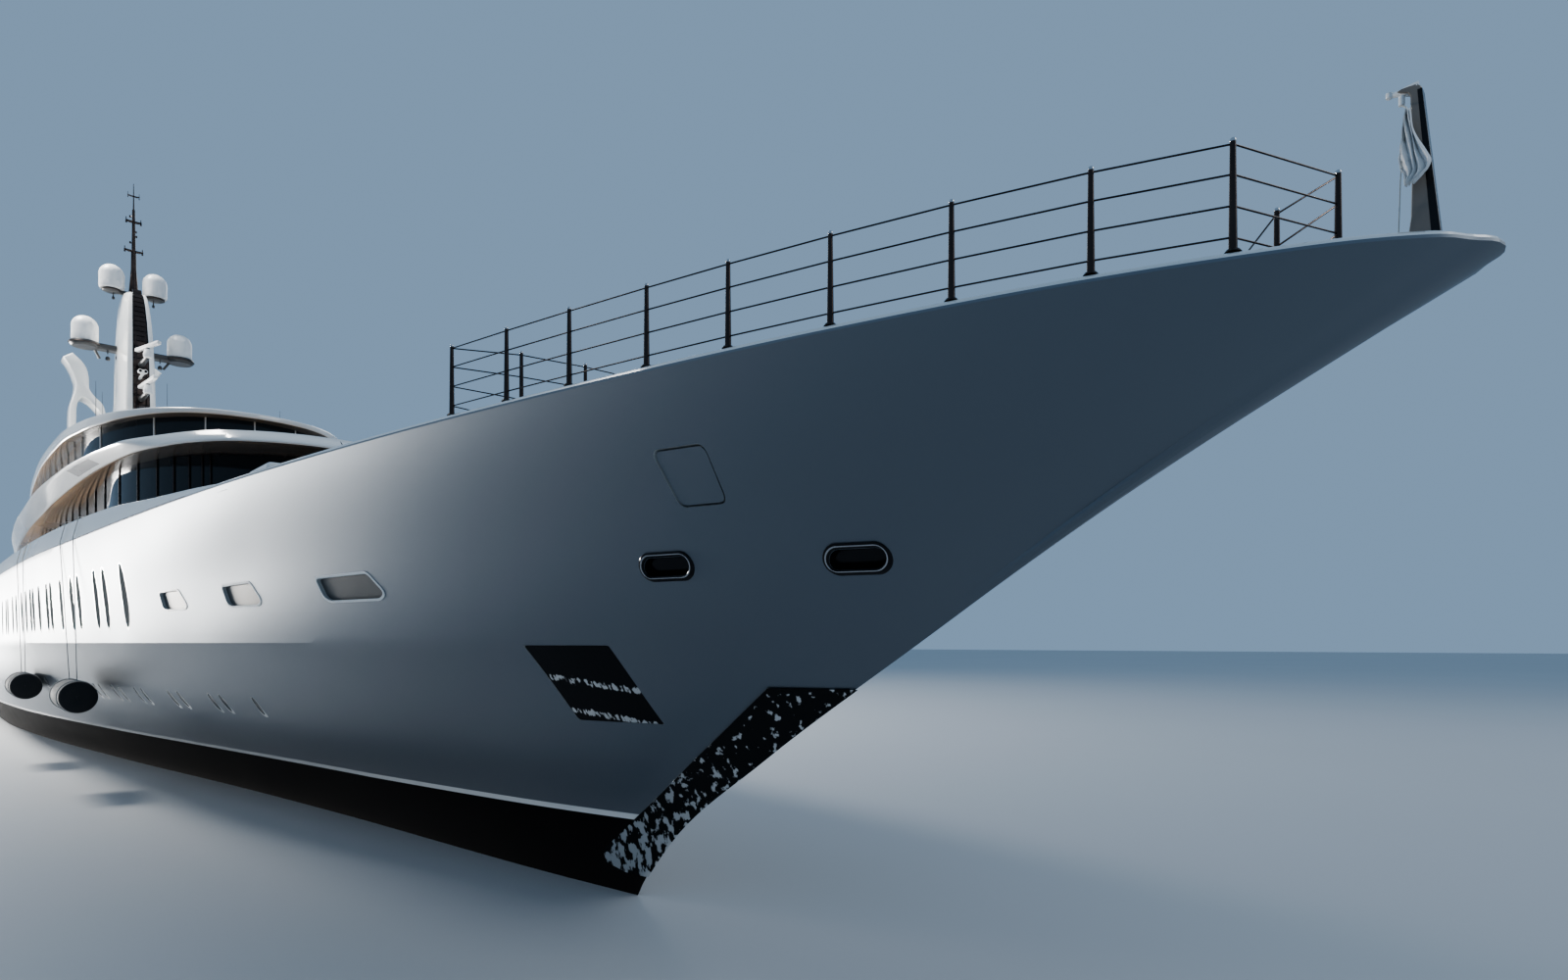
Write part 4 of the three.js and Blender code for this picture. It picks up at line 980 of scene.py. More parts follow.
def build_hull(context):
    sizes = context.scene.yacht_sizes
    hull = hull_solid("hull_shell", sizes.hull_stations)
    SKIN["tree"] = tree_of(hull)
    cutters = Builder()
    for start, stop, inset, up in DECK_WELLS:
        cutters.prism(deck_loop(start, stop, inset, up), (0, 0, 1.2 - SCALE * up))
    for side in (1, -1):
        skin_plate(cutters, grown(on_side(POCKET), 0.0003), CUTTER_OUT, -0.0043, side)
        skin_plate(
            cutters, rounded_corners(on_side(SHELL_DOOR), 0.015), CUTTER_OUT, -0.014, side, columns=12, step=0.01
        )
        for corners in BULWARK_OPENINGS:
            skin_plate(cutters, rounded_corners(on_side(corners), 0.012), CUTTER_OUT, -0.008, side)
        for _, aft, up, long, high in FAIRLEADS:
            skin_plate(cutters, stadium(aft, up, long, high), CUTTER_OUT, -0.014, side)
        for shape, places, columns, _ in WINDOWS:
            for aft in places:
                skin_plate(cutters, shape(aft), CUTTER_OUT, -sizes.window_depth, side, columns=columns, step=0.03)
    boolean(hull, cutters.piece("cutters", "hull_silver", body=None))
    half, low, high, depth = STERN_DOOR
    opening = Builder()
    block(opening, (-6, -SCALE * half, SCALE * low), (-4, SCALE * half, SCALE * high))
    opening = opening.piece("stern_opening", "hull_silver", body=None)
    boolean(opening, hull_solid("shifted_hull", 60, ahead=depth))
    boolean(hull, opening)
    for y in (0.31, -0.31):
        boss = Builder()
        boss.lathe([(0, -0.116), (0.024, -0.116), (0.024, -0.05), (0, -0.05)], (MARK_X - 10.7, y, 0), sides=24)
        boolean(hull, boss.piece("boss", "hull_silver", body=None), "UNION")

    rise = Vector((-BOOT_RISE, 0, 1))
    for up in (BOOT_UP, BOOT_UP + STRIPE_WIDE):
        place = Vector((BOOT_FORE, 0, SCALE * up))
        scored(hull, (place, upward(1)), (place, rise))
    tree = SKIN["tree"]
    levels = [SCALE * up for up in (FOREDECK_UP, SIDE_DECK_UP, AFT_DECK_UP)]

    def rule(centre, normal):
        place, skin_normal, _, distance = tree.find_nearest(centre)
        aft = (MARK_X - centre.x) / SCALE
        if distance < 0.0006 or centre.z < 0.04:
            above = centre.z - BOOT_RISE * max(0, centre.x - BOOT_FORE) - SCALE * BOOT_UP
            if above < 0:
                return 8
            return 1 if above < SCALE * STRIPE_WIDE or centre.z > SCALE * (along(SHEER_UP, aft) - 0.09) else 0
        if normal.z > 0.99 and any(abs(centre.z - level) < 1e-4 for level in levels):
            return 2
        # Cut faces of the fairleads are gloss black: painted shade inside the holes
        if aft < 13 and 0.66 < centre.z < 0.71:
            return 5
        facing = normal.dot(skin_normal) > 0.8
        if 28 < aft < 70 and 0.33 < centre.z < 0.83 and not (aft < 32.6 and centre.z > 0.6):
            return 6 if centre.z < 0.45 else 4
        # Backs of the bulwark openings take a dark grey: painted shade inside them
        if facing and 19 < aft < 33 and centre.z > 0.6:
            return 7
        return 3

    paint_by(hull, (
        "hull_silver", "gloss_white", "teak_deck", "recess_white", "window_grey", "gloss_black", "dark_glass",
        "recess_grey", "boot_black",
    ), rule)
    settle(hull, 14)
    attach(hull, "yacht")
    finish(hull, "hull_paint", "hull")


class YACHT_OT_hull(bpy.types.Operator):
    """Lofts the hull and cuts its decks, windows, openings and recesses"""
    bl_idname = "yacht.hull"
    bl_label = "Hull"

    def execute(self, context):
        build_hull(context)
        return {"FINISHED"}


# Houses and decks above the hull, in real metres

# Half breadth (aft, out) of the lower and the upper edge of each white brow
BRIDGE_DECK_LOW = (
    (35.5, 0), (35.6, 1.2), (36.1, 2.6), (37, 3.8), (38.9, 4.9), (42, 5.75), (47.3, 6.25), (54, 6.65), (60, 6.85),
    (70, 6.9), (77, 6.8), (85, 6.6), (92.7, 6.3), (97, 6.1)
)
BRIDGE_DECK_HIGH = (
    (36, 0), (36.1, 1.2), (36.6, 2.6), (37.6, 3.9), (39.8, 5.1), (42.5, 6.1), (50.9, 7.05), (61, 7.4), (72, 7.35),
    (85, 6.95), (92.7, 6.5), (97, 6.2)
)
ROOF_EDGE = (
    (47.5, 0), (47.6, 1), (48.1, 2.4), (49, 3.5), (50.3, 4.4), (52, 5.2), (55, 5.95), (59, 6.4), (67, 6.55), (76, 6.35),
    (84, 6), (95, 5.2)
)
# Height of the lower rim of each brow and of the soffit inside it
DECK_RIM = ((35, 12.88), (47, 12.87), (54, 12.74), (60, 12.62), (97, 12.6))
DECK_SOFFIT = ((35, 13.08), (40, 13.05), (45, 12.9), (51, 12.72), (60, 12.64), (97, 12.62))
ROOF_RIM = ((47, 16.24), (48, 16.22), (50.5, 16.12), (53, 15.98), (56, 15.92), (95, 15.95))
HARDTOP = {"nose": 71.5, "length": 6, "out": 4.4, "tail": 97, "tail_out": 3.9}
AFT_SLAB = {"nose": 84.6, "length": 1, "out": 7.6, "tail": 103, "tail_out": 7.1}
AFT_SLAB_UP, AFT_SLAB_TOP = 9.4, 9.7


def spaced(start, stop, step):
    """Places from start to stop."""
    return tuple(start + step * k for k in range(int((stop - start) / step) + 1))


HOUSE_PARTS = (
    "name", "nodes", "nose", "length", "out", "tail", "floor", "ceiling", "sill", "head", "posts", "post_pick"
)
HOUSES = tuple(
    dict(zip(HOUSE_PARTS, row)) for row in (
        (
            "upper_deck_house", ("upper_deck_house", "upper_deck_glass"), 38.9, 9, 5.7, 83, SIDE_DECK_UP, 13.12, 9.3,
            13.0, (40.61, 40.88, 41.36, 42.02, 42.89, 44.18) + spaced(46, 82, 3.1), 1
        ),
        (
            "wheelhouse", ("wheelhouse", "wheelhouse_glass"), 48.3, 9, 5.7, 84, BRIDGE_DECK_TOP, 16.4, 14, 16.34,
            (48.83, 50.44) + spaced(54, 83, 3.2), 0
        ),
        (
            "sun_deck_house", ("sun_deck_house",), 73.5, 4, 3.4, 90, ROOF_TOP, HARDTOP_UP, 17.2, 18.3,
            spaced(76, 90, 3.5), 1
        ),
        (
            "main_deck_house", ("main_deck_house",), 84.6, 1, 6.6, 97, AFT_DECK_UP, AFT_SLAB_UP, 7.2, 9,
            spaced(87, 96, 3), 1
        )
    )
)
SEAT = 0.0003


def plan_loop(plan, inset, up):
    """Closed outline of a house or roof: half-ellipse nose, straight sides, square tail."""
    centre, tail = plan["nose"] + plan["length"], plan["tail"]
    out, tail_out = plan["out"], plan.get("tail_out", plan["out"])
    turns = [0.5 * pi * k / 40 for k in range(41)]
    port = [at(centre - (plan["length"] - inset) * cos(turn), (out - inset) * sin(turn), up) for turn in turns]
    for share in shares(6)[1:]:
        port.append(at(centre + (tail - inset - centre) * share, out + (tail_out - out) * share - inset, up))
    return port + mirrored(port[1:])


def band(work, plan, low, high, near, far, pick=0):
    """A closed wall between two insets of an outline and two heights, all in real metres."""
    loops = [
        plan_loop(plan, near, low), plan_loop(plan, near, high), plan_loop(plan, far, high), plan_loop(plan, far, low)
    ]
    work.loft(loops + [loops[0]], pick, caps=(False, False))


def slab(work, plan, low, high, lip):
    """A closed deck whose edge is rounded by a lip, in real metres."""
    edge = [(0, lip), (0.3 * lip, 0.3 * lip), (lip, 0)]
    levels = [(low + rise, inset) for rise, inset in edge] + [(high - rise, inset) for rise, inset in reversed(edge)]
    work.loft([plan_loop(plan, inset, up) for up, inset in levels])


def plan_place(plan, aft, side):
    """Point (x, y) and outward direction on a house's outline at a place aft."""
    centre = plan["nose"] + plan["length"]
    if aft >= centre:
        return at(aft, side * plan["out"], 0), Vector((0, side, 0))
    along_nose = (centre - aft) / plan["length"]
    out = plan["out"] * sqrt(max(0, 1 - along_nose**2))
    normal = Vector((along_nose / plan["length"], side * out / plan["out"] ** 2, 0)).normalized()
    return at(aft, side * out, 0), normal


def upright(work, place, normal, low, high, wide, near, far, pick=0):
    """A flat post on a wall: wide along the wall, from near inside to far outside its face."""
    across = Vector((-normal.y, normal.x, 0))
    outline = [
        place + across * sign * wide / 2 + normal * reach
        for sign, reach in ((-1, near), (1, near), (1, far), (-1, far))
    ]
    work.loft([[Vector((p.x, p.y, up)) for p in outline] for up in (low, high)], pick)


def brow(work, lower, upper, levels):
    """A deck whose edge leans from one table to another; levels: (up or (table, plus), share, inset)."""
    rings = []
    for place in shares(110):
        along_it = place**2.1
        side = []
        for level, share, inset in levels:
            nose = lower[0][0] + (upper[0][0] - lower[0][0]) * share
            tail = lower[-1][0] + (upper[-1][0] - lower[-1][0]) * share
            aft = nose + (tail - nose) * along_it
            low, high = along(lower, aft + lower[0][0] - nose), along(upper, aft + upper[0][0] - nose)
            out = low * (1 - share) + high * share
            up = along(level[0], aft) + level[1] if isinstance(level, tuple) else level
            side.append(at(aft + inset * (1 - 2 * along_it), max(0.0, out - inset), up))
        rings.append(side + mirrored(side))
    work.loft(rings, caps=(False, True))


def build_brows():
    top = BRIDGE_DECK_TOP
    deck = Builder()
    brow(deck, BRIDGE_DECK_LOW, BRIDGE_DECK_HIGH, (
        ((DECK_SOFFIT, 0), 0, 1.4), ((DECK_RIM, 0), 0, 0.1),
        ((DECK_RIM, 0.015), 0, 0.05), ((DECK_RIM, 0.06), 0.05, 0.015),
        ((DECK_RIM, 0.13), 0.15, 0), (top - 0.2, 0.8, -0.02), (top - 0.08, 1, 0),
        (top - 0.02, 1, 0.04), (top, 1, 0.12), (top, 1, 0.45),
    ))
    deck = deck.piece("bridge_deck_brow", "gloss_white")

    def deck_rule(centre, normal):
        # Faces that look down take the soffit finish: painted shade under the brow
        if normal.z < -0.85:
            return 1
        aft = (MARK_X - centre.x) / SCALE
        inside = along(BRIDGE_DECK_HIGH, aft) - abs(centre.y) / SCALE
        return 2 if normal.z > 0.99 and inside > 0.4 and aft > 37.5 else 0

    paint_by(deck, ("gloss_white", "soffit_grey", "teak_deck"), deck_rule)
    finish(deck, "white_paint", "bridge_deck")

    roof = Builder()
    top = ROOF_TOP
    brow(roof, ROOF_EDGE, ROOF_EDGE, (
        (16.28, 0, 1.5), ((ROOF_RIM, 0), 0, 0.08), ((ROOF_RIM, 0.01), 0, 0.035),
        ((ROOF_RIM, 0.04), 0, 0.008), ((ROOF_RIM, 0.07), 0, 0),
        (top - 0.07, 0, 0), (top - 0.03, 0, 0.025), (top - 0.008, 0, 0.07), (top, 0, 0.14), (top, 0, 0.5),
    ))
    roof.piece("wheelhouse_roof", ("gloss_white", "soffit_grey"), "white_paint", "top_roof", rule=underside_shade_rule)

    hardtop = Builder()
    slab(hardtop, HARDTOP, HARDTOP_UP, HARDTOP_TOP, 0.1)
    hardtop.piece("hardtop_slab", ("gloss_white", "soffit_grey"), "white_paint", "hardtop", rule=underside_shade_rule)


class YACHT_OT_brows(bpy.types.Operator):
    """Bridge deck, roof and hardtop: the white brows over the deckhouses"""
    bl_idname = "yacht.brows"
    bl_label = "Decks and roofs"

    def execute(self, context):
        build_brows()
        return {"FINISHED"}


def build_houses():
    for plan in HOUSES:
        walls = Builder()
        band(walls, plan, plan["floor"] + 0.003, plan["sill"], 0, 0.1)
        band(walls, plan, plan["head"], plan["ceiling"] - 0.003, 0, 0.1, pick=1)
        low, high = SCALE * plan["sill"] - 0.001, SCALE * plan["head"] + 0.001
        posts = [plan_place(plan, aft, side) for aft in plan["posts"] for side in (1, -1)]
        posts.append((plan_place(plan, plan["nose"], 1)[0], forward(1)))
        for place, normal in posts:
            upright(walls, place, normal, low, high, 0.006, -0.009, 0.0005, plan["post_pick"])
        for side in (1, -1):
            corner = at(plan["tail"] - 0.15, side * (plan["out"] - 0.15), 0)
            upright(walls, corner, Vector((0, side, 0)), low, high, 0.03, -0.015, 0.015)
        walls.piece(f"{plan['name']}_walls", ("gloss_white", "dark_bronze"), "white_paint", plan["nodes"][0])
        panes = Builder()
        band(panes, plan, plan["sill"] - 0.04, plan["head"] + 0.04, 0.04, 0.08)
        panes.piece(f"{plan['name']}_panes", "dark_glass", "dark_glass", *plan["nodes"][1:])


class YACHT_OT_houses(bpy.types.Operator):
    """Deckhouses: walls, tinted glass and the posts between the panes"""
    bl_idname = "yacht.houses"
    bl_label = "Deckhouses"

    def execute(self, context):
        build_houses()
        return {"FINISHED"}


def build_hull_fittings():
    for side, side_name in SIDES:
        plate = Builder()
        skin_plate(plate, rounded_corners(on_side(POCKET), 0.008), -0.0012, -0.004, side, columns=16, step=0.008)
        plate.piece(f"anchor_pocket_plate_{side_name}", "plate_mirror", "black_gloss", f"anchor_pocket_{side_name}")
        for name, aft, up, long, high in FAIRLEADS:
            rim = Builder()
            skin_frame(rim, stadium(aft, up, long, high, 14), round_section(0.0042, 0.0045, 10), side)
            # A thin polished-steel bead on the crest of the dark rim: a painted highlight along it
            skin_frame(
                rim, stadium(aft, up, long, high, 14),
                [(a + 0.0025, b + 0.0036) for a, b in round_section(0.001, 0.001, 8)], side, pick=1
            )
            rim.piece(
                f"fairlead_{name}_rim_{side_name}", ("gloss_black", "polished_steel"), "black_gloss",
                f"fairlead_{name}_{side_name}"
            )
        frames = Builder()
        for corners in BULWARK_OPENINGS:
            outline = rounded_corners(on_side(corners), 0.012)
            skin_frame(frames, outline, flat_section(0.0055, 0.0012, 0.002), side)
        frames.piece(f"opening_frames_{side_name}", *WHITE)
        rims = Builder()
        section = [(0, 0.0004), (1, 0.0004), (1, -0.001), (0, -0.001)]
        for shape, places, _, rim in WINDOWS:
            for aft in places:
                skin_frame(rims, shape(aft), section, side, rim=rim)
        rims.piece(f"window_rims_{side_name}", *WHITE)

    shell = hull_solid("stem_plate_skin", 240, grow=0.004)
    prism = Builder()
    outline = [Vector((p.x, -0.4, p.y)) for p in on_side(STEM_PLATE)]
    prism.prism(outline, (0, 0.8, 0))
    boolean(shell, prism.piece("stem_prism", "gloss_black", body=None), "INTERSECT")
    boolean(shell, hull_solid("stem_inner", 240, grow=SEAT))
    paint_by(shell, ("stem_mirror",), lambda centre, normal: 0)
    tidy_mesh(shell, 1e-5, angle=30)
    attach(shell, "yacht")
    finish(shell, "black_gloss", "stem_plate")


class YACHT_OT_hull_fittings(bpy.types.Operator):
    """Anchor pockets, fairleads, stem plate and the frames of windows and openings"""
    bl_idname = "yacht.hull_fittings"
    bl_label = "Hull fittings"

    def execute(self, context):
        build_hull_fittings()
        return {"FINISHED"}


def build_hatches():
    for side, side_name in SIDES:
        leaf = Builder()
        skin_plate(
            leaf, rounded_corners(door_leaf(SHELL_DOOR), 0.012), -LEAF_SINK, -0.0085, side, columns=12, step=0.01
        )
        leaf.piece(
            f"shell_door_leaf_{side_name}", "hull_silver", "hull_paint", f"shell_door_{side_name}",
            body=f"side_hatch_{side_name}"
        )
    half, low, high, depth = STERN_DOOR
    leaf = hull_solid("stern_door_leaf", 60)
    prism = Builder()
    block(
        prism, (-6, -SCALE * half + DOOR_GAP, SCALE * low + DOOR_GAP),
        (-4, SCALE * half - DOOR_GAP, SCALE * high - HINGE_GAP)
    )
    boolean(leaf, prism.piece("stern_prism", "hull_silver", body=None), "INTERSECT")
    boolean(leaf, hull_solid("stern_inner", 60, ahead=depth - 0.006))
    levels = [SCALE * BOOT_UP, SCALE * (BOOT_UP + STRIPE_WIDE)]
    scored(leaf, *((upward(level), upward(1)) for level in levels))

    def rule(centre, normal):
        return sum(centre.z < level for level in levels)

    paint_by(leaf, ("hull_silver", "gloss_white", "boot_black"), rule)
    settle(leaf)
    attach(leaf, "beach_door")
    finish(leaf, "hull_paint", "stern_door")


class YACHT_OT_hatches(bpy.types.Operator):
    """Shell doors in the flare and the stern door, each on its own hinge"""
    bl_idname = "yacht.hatches"
    bl_label = "Shell and stern doors"

    def execute(self, context):
        build_hatches()
        return {"FINISHED"}


def socket_id(tree, name):
    """Identifier of a named input of a geometry tree."""
    return next(item.identifier for item in tree.interface.items_tree if item.name == name and item.in_out == "INPUT")


def geometry_tree(name, *inputs):
    """An empty Geometry Nodes tree with inputs (name, type) and a material."""
    inputs = (("Geometry", "Geometry"), *inputs, ("Material", "Material"))
    return Nodes(bpy.data.node_groups.new(name, "GeometryNodeTree"), inputs, (("Geometry", "Geometry"),))


def grown_piece(name, points, edges, tree, values, finish_name, heights=None, body="yacht"):
    """A mesh grown by a Geometry Nodes tree on points or edges, turned into a plain mesh."""
    obj = new_piece(name, points, [], (), body=None, edges=edges)
    if heights:
        obj.data.attributes.new("height", "FLOAT", "POINT").data.foreach_set("value", heights)
    step = obj.modifiers.new("grow", "NODES")
    step.node_group = tree
    for label, value in values.items():
        step[socket_id(tree, label)] = value
    step[socket_id(tree, "Material")] = FINISHES[finish_name]
    bpy.context.view_layer.update()
    evaluated_mesh(obj)
    if not obj.data.polygons:
        raise RuntimeError(f"{name}: nothing grew")
    settle(obj)
    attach(obj, body)
    return obj


def end_tree(net, node):
    """Realize Instances, Set Material and the tree's end."""
    real = net.put("GeometryNodeRealizeInstances", node.outputs[0])
    paint = net.put("GeometryNodeSetMaterial", Geometry=real.outputs[0], Material=net["Material"])
    net.feed(net.end.inputs[0], paint.outputs[0])
    return net.tree


def on_points(net, points, shape, **values):
    """Instances of a shape on points."""
    return net.put("GeometryNodeInstanceOnPoints", Points=points.outputs[0], Instance=shape.outputs[0], **values)


def wires_tree():
    """Round wires along the edges of a mesh."""
    net = geometry_tree("rail_wires", ("Wire Radius", "Float"))
    curve = net.put("GeometryNodeMeshToCurve", Mesh=net["Geometry"])
    ring = net.put("GeometryNodeCurvePrimitiveCircle", Resolution=8, Radius=net["Wire Radius"])
    return end_tree(net, net.put(
        "GeometryNodeCurveToMesh", Fill_Caps=True, Curve=curve.outputs[0], Profile_Curve=ring.outputs[0]
    ))


def posts_tree():
    """Tapered posts with a foot ring on points; each takes its length from the height attribute."""
    net = geometry_tree("rail_posts", ("Foot Radius", "Float"), ("Head Radius", "Float"))
    radius = net["Foot Radius"]
    post, foot = (net.put("GeometryNodeMeshCone") for _ in range(2))
    net.fill(post, Vertices=20, Depth=1.0, Radius_Bottom=radius, Radius_Top=net["Head Radius"])
    wide, narrow = (net.math("MULTIPLY", radius, times) for times in (2.0, 1.5))
    net.fill(foot, Vertices=20, Depth=0.003, Radius_Bottom=wide, Radius_Top=narrow)
    height = net.put("GeometryNodeInputNamedAttribute", data_type="FLOAT", Name="height")
    scale = net.put("ShaderNodeCombineXYZ", 1.0, 1.0, height.outputs[0])
    points = net.put("GeometryNodeMeshToPoints", Mesh=net["Geometry"])
    posts = on_points(net, points, post, Scale=scale.outputs[0])
    join = net.put("GeometryNodeJoinGeometry", posts.outputs[0])
    net.feed(join.inputs[0], on_points(net, points, foot).outputs[0])
    return end_tree(net, join)


def balls_tree():
    """Small round caps on points."""
    net = geometry_tree("rail_caps", ("Cap Radius", "Float"))
    ball = net.put("GeometryNodeMeshUVSphere", Segments=16, Rings=10, Radius=net["Cap Radius"])
    points = net.put("GeometryNodeMeshToPoints", Mesh=net["Geometry"])
    return end_tree(net, on_points(net, points, ball))


# Foredeck rail, in real metres
RAIL_FRONT = 2.76
RAIL_INNER = (3.52, 0.45)
RAIL_AFT = (3.35, 4.65, 6.15, 7.7, 9.25, 10.7, 12.3, 13.8, 15.3)
RAIL_CLOSING = ((14.76, 3.6), (14.56, 2.4), (14.5, 0.8))
RAIL_UP = 10.85
RAIL_INSET = 0.16
WIRE_SHARE = (0.14, 0.42, 0.7, 0.97)


def rail_feet():
    """Feet of the foredeck rail's stanchions, round from the bow along the port side."""
    def edge(aft, side):
        return at(aft, side * (along(DECK_OUT, aft) - RAIL_INSET), along(SHEER_UP, aft)) + upward(SEAT)

    def inboard(aft, out, side):
        return at(aft, side * out, FOREDECK_UP) + upward(SEAT)

    feet = [at(RAIL_FRONT, 0, along(SHEER_UP, RAIL_FRONT)) + upward(SEAT), inboard(*RAIL_INNER, 1)]
    feet += [edge(aft, 1) for aft in RAIL_AFT[1:]]
    feet += [inboard(*place, 1) for place in RAIL_CLOSING]
    feet += [inboard(*place, -1) for place in reversed(RAIL_CLOSING)]
    return feet + [edge(aft, -1) for aft in reversed(RAIL_AFT)]


def build_foredeck_rail(context):
    sizes = context.scene.yacht_sizes
    feet = rail_feet()
    top = SCALE * RAIL_UP
    posts = grown_piece(
        "foredeck_stanchions", feet, [], posts_tree(), {"Foot Radius": sizes.stanchion_radius, "Head Radius": 0.0031},
        "dark_bronze", heights=[top - foot.z for foot in feet]
    )
    finish(posts, "dark_bronze", "foredeck_rail")
    # Caps of bright polished steel on the posts' heads: the caps are real, their brightness is a painted highlight on
    # each dark cap
    caps = [Vector((foot.x, foot.y, top)) for foot in feet]
    painted_highlight_caps = grown_piece("foredeck_stanchion_caps", caps, [], balls_tree(), {"Cap Radius": 0.0034}, "polished_steel")
    finish(painted_highlight_caps, "steel")
    points, edges = [], []
    for share in WIRE_SHARE:
        base = len(points)
        points += [Vector((foot.x, foot.y, foot.z + share * (top - foot.z))) for foot in feet]
        edges += [(base + k, base + (k + 1) % len(feet)) for k in range(len(feet))]
    wires = grown_piece(
        "foredeck_wires", points, edges, wires_tree(), {"Wire Radius": sizes.wire_radius}, "dark_bronze"
    )
    finish(wires, "dark_bronze")


class YACHT_OT_foredeck_rail(bpy.types.Operator):
    """Stanchions with bright steel caps, a painted highlight on each, and four wires round the foredeck"""
    bl_idname = "yacht.foredeck_rail"
    bl_label = "Foredeck rail"

    def execute(self, context):
        build_foredeck_rail(context)
        return {"FINISHED"}


# Jackstaff fin seen from the side (aft, up)
STAFF = (
    (2.16, 9.683), (1.8, 9.683), (1.98, 11.43), (1.995, 11.46), (2.03, 11.482), (2.17, 11.487), (2.2, 11.477),
    (2.17, 11.455), (2.11, 11.43), (2.085, 11.38), (2.07, 10.6), (2.08, 10.1), (2.11, 9.85)
)
FLAG_PLACE = (2.06, -0.21)
FLAG_TOP, FLAG_LONG, FLAG_WIDE = 11.2, 0.82, 0.84
# Where the hoist and the fly hang, ahead of the flag's place, against the share of its drop
FLAG_HOIST = ((0, -0.004), (0.15, -0.007), (0.6, -0.0085), (0.75, -0.0075), (0.85, -0.005), (1, -0.005))
FLAG_FLY = ((0, 0), (0.2, 0.003), (0.4, 0.0075), (0.62, 0.0135), (0.78, 0.017), (0.88, 0.0145), (1, 0.003))


def build_jackstaff():
    work = Builder()
    middle = MARK_X - SCALE * 2.02
    levels = ((-0.006, 0.0012), (-0.0052, 0.0004), (-0.004, 0), (0.004, 0), (0.0052, 0.0004), (0.006, 0.0012))
    work.loft([
        [Vector((p.x - copysign(min(inset, abs(p.x - middle)), p.x - middle), y, p.y)) for p in on_side(STAFF)]
        for y, inset in levels
    ])
    work.piece("jackstaff_fin", ("warm_grey", "gloss_black"), "grey_paint", "jackstaff", rule=staff_rule)
    trim = Builder()
    trim.tube(
        [at(2.02, 0, 11.473), at(2.12, 0, 11.475), at(2.2, 0, 11.478), at(2.28, 0, 11.482)],
        [0.0062, 0.005, 0.0032, 0.002], 14
    )
    trim.lathe([(0, -0.004), (0.0034, -0.002), (0.0034, 0.003), (0, 0.005)], at(2.28, 0, 11.485), sides=16)
    trim.lathe([(0, -0.006), (0.003, -0.005), (0.003, 0.005), (0, 0.006)], at(2.165, -0.02, 11.38), sides=14)
    trim.lathe([(0, 0), (0.004, 0), (0.004, 0.002), (0.0025, 0.004), (0, 0.005)], at(2.22, 0, 9.683), sides=14)
    trim.piece("jackstaff_trim", "radome_white", "white_paint")
    strip = Builder()
    for side in (1, -1):
        places = [(1.803, 9.69), (1.979, 11.42), (2.02, 11.42), (1.885, 9.69)]
        strip.loft([[at(aft, side * out, up) for aft, up in places] for out in (0.055, 0.062, 0.064)])
    strip.piece("jackstaff_strip", "gloss_black", "black_gloss")
    lines = Builder()
    aft, out = FLAG_PLACE
    lines.tube([at(2.165, -0.02, 11.33), at(aft + 0.03, out, FLAG_TOP)], 0.0008, 8)
    lines.tube([at(aft + 0.03, out, FLAG_TOP), at(aft + 0.08, out, 10.45), at(2.2, -0.02, 9.73)], 0.0006, 8)
    lines.piece("flag_halyard", "rope_fibre", "flag_cloth")

    across, down, folds = 96, 52, 4
    points, faces = [], []
    leg = SCALE * FLAG_WIDE / (2 * folds)
    for j in range(down + 1):
        v = j / down
        hoist, fly = along(FLAG_HOIST, v), along(FLAG_FLY, v)
        step = (fly - hoist) / (2 * folds)
        deep = sqrt(max(leg**2 - step**2, 1e-8)) / 2
        for i in range(across + 1):
            u = i / across
            turn = 2 * pi * folds * u
            wave = asin(sin(turn + 0.5 * sin(2.1 * v + 1.0))) / (pi / 2)
            bunched = (1 - u) ** 2 * min(1, 3 * v)
            x = hoist + (fly - hoist) * u + 0.0012 * sin(7 * v + 9 * u)
            y = 0.96 * deep * wave + 0.0008 * sin(5 * v + 4 * u) + 0.0016 * bunched * sin(38 * v)
            z = -SCALE * FLAG_LONG * v * (1 - 0.07 * u) - 0.004 * u
            points.append(at(aft, out, FLAG_TOP) + Vector((x, y, z)))
    for j in range(down):
        for i in range(across):
            a = j * (across + 1) + i
            faces.append((a, a + 1, a + across + 2, a + across + 1))
    flag = new_piece("bow_flag_cloth", points, faces, "flag_cloth", angle=80)
    thick = flag.modifiers.new("thickness", "SOLIDIFY")
    thick.thickness = 0.0003
    thick.offset = 0
    finish(flag, "flag_cloth", "bow_flag")


class YACHT_OT_jackstaff(bpy.types.Operator):
    """Jackstaff fin at the bow tip with its arm, halyard and furled white flag"""
    bl_idname = "yacht.jackstaff"
    bl_label = "Jackstaff and flag"

    def execute(self, context):
        build_jackstaff()
        return {"FINISHED"}


# Mast, in real metres
MAST_AFT = 83.3
TOWER_LEVELS = (  # up, front edge aft, rear edge aft, half breadth of the front, widest half breadth
    (19.053, 79.7, 85.6, 0.92, 1.2), (21, 79.75, 85.5, 0.9, 1.19), (23.5, 79.85, 85.35, 0.88, 1.17),
    (26, 80.0, 85.1, 0.85, 1.13), (28, 80.2, 84.9, 0.8, 1.07), (29.5, 80.55, 84.5, 0.74, 1.0),
    (30.8, 80.95, 84.2, 0.66, 0.9), (31.5, 81.25, 84.05, 0.6, 0.82), (31.85, 81.5, 83.95, 0.54, 0.75),
    (32.0, 81.8, 83.8, 0.46, 0.62),
)
LOWER_ARM = (28.0, 2.95, 0.95, 0.45, 0.4)  # top, reach out, disc radius, half depth, thickness
UPPER_ARM = (32.35, 1.35, 0.6, 0.28, 0.22)
RADOME = (0.82, 1.92)  # radius, height
SCANNERS = (("upper", 77.2, 26.65, 0.165, 15.5), ("lower", 77.2, 24.09, 0.2, 5))
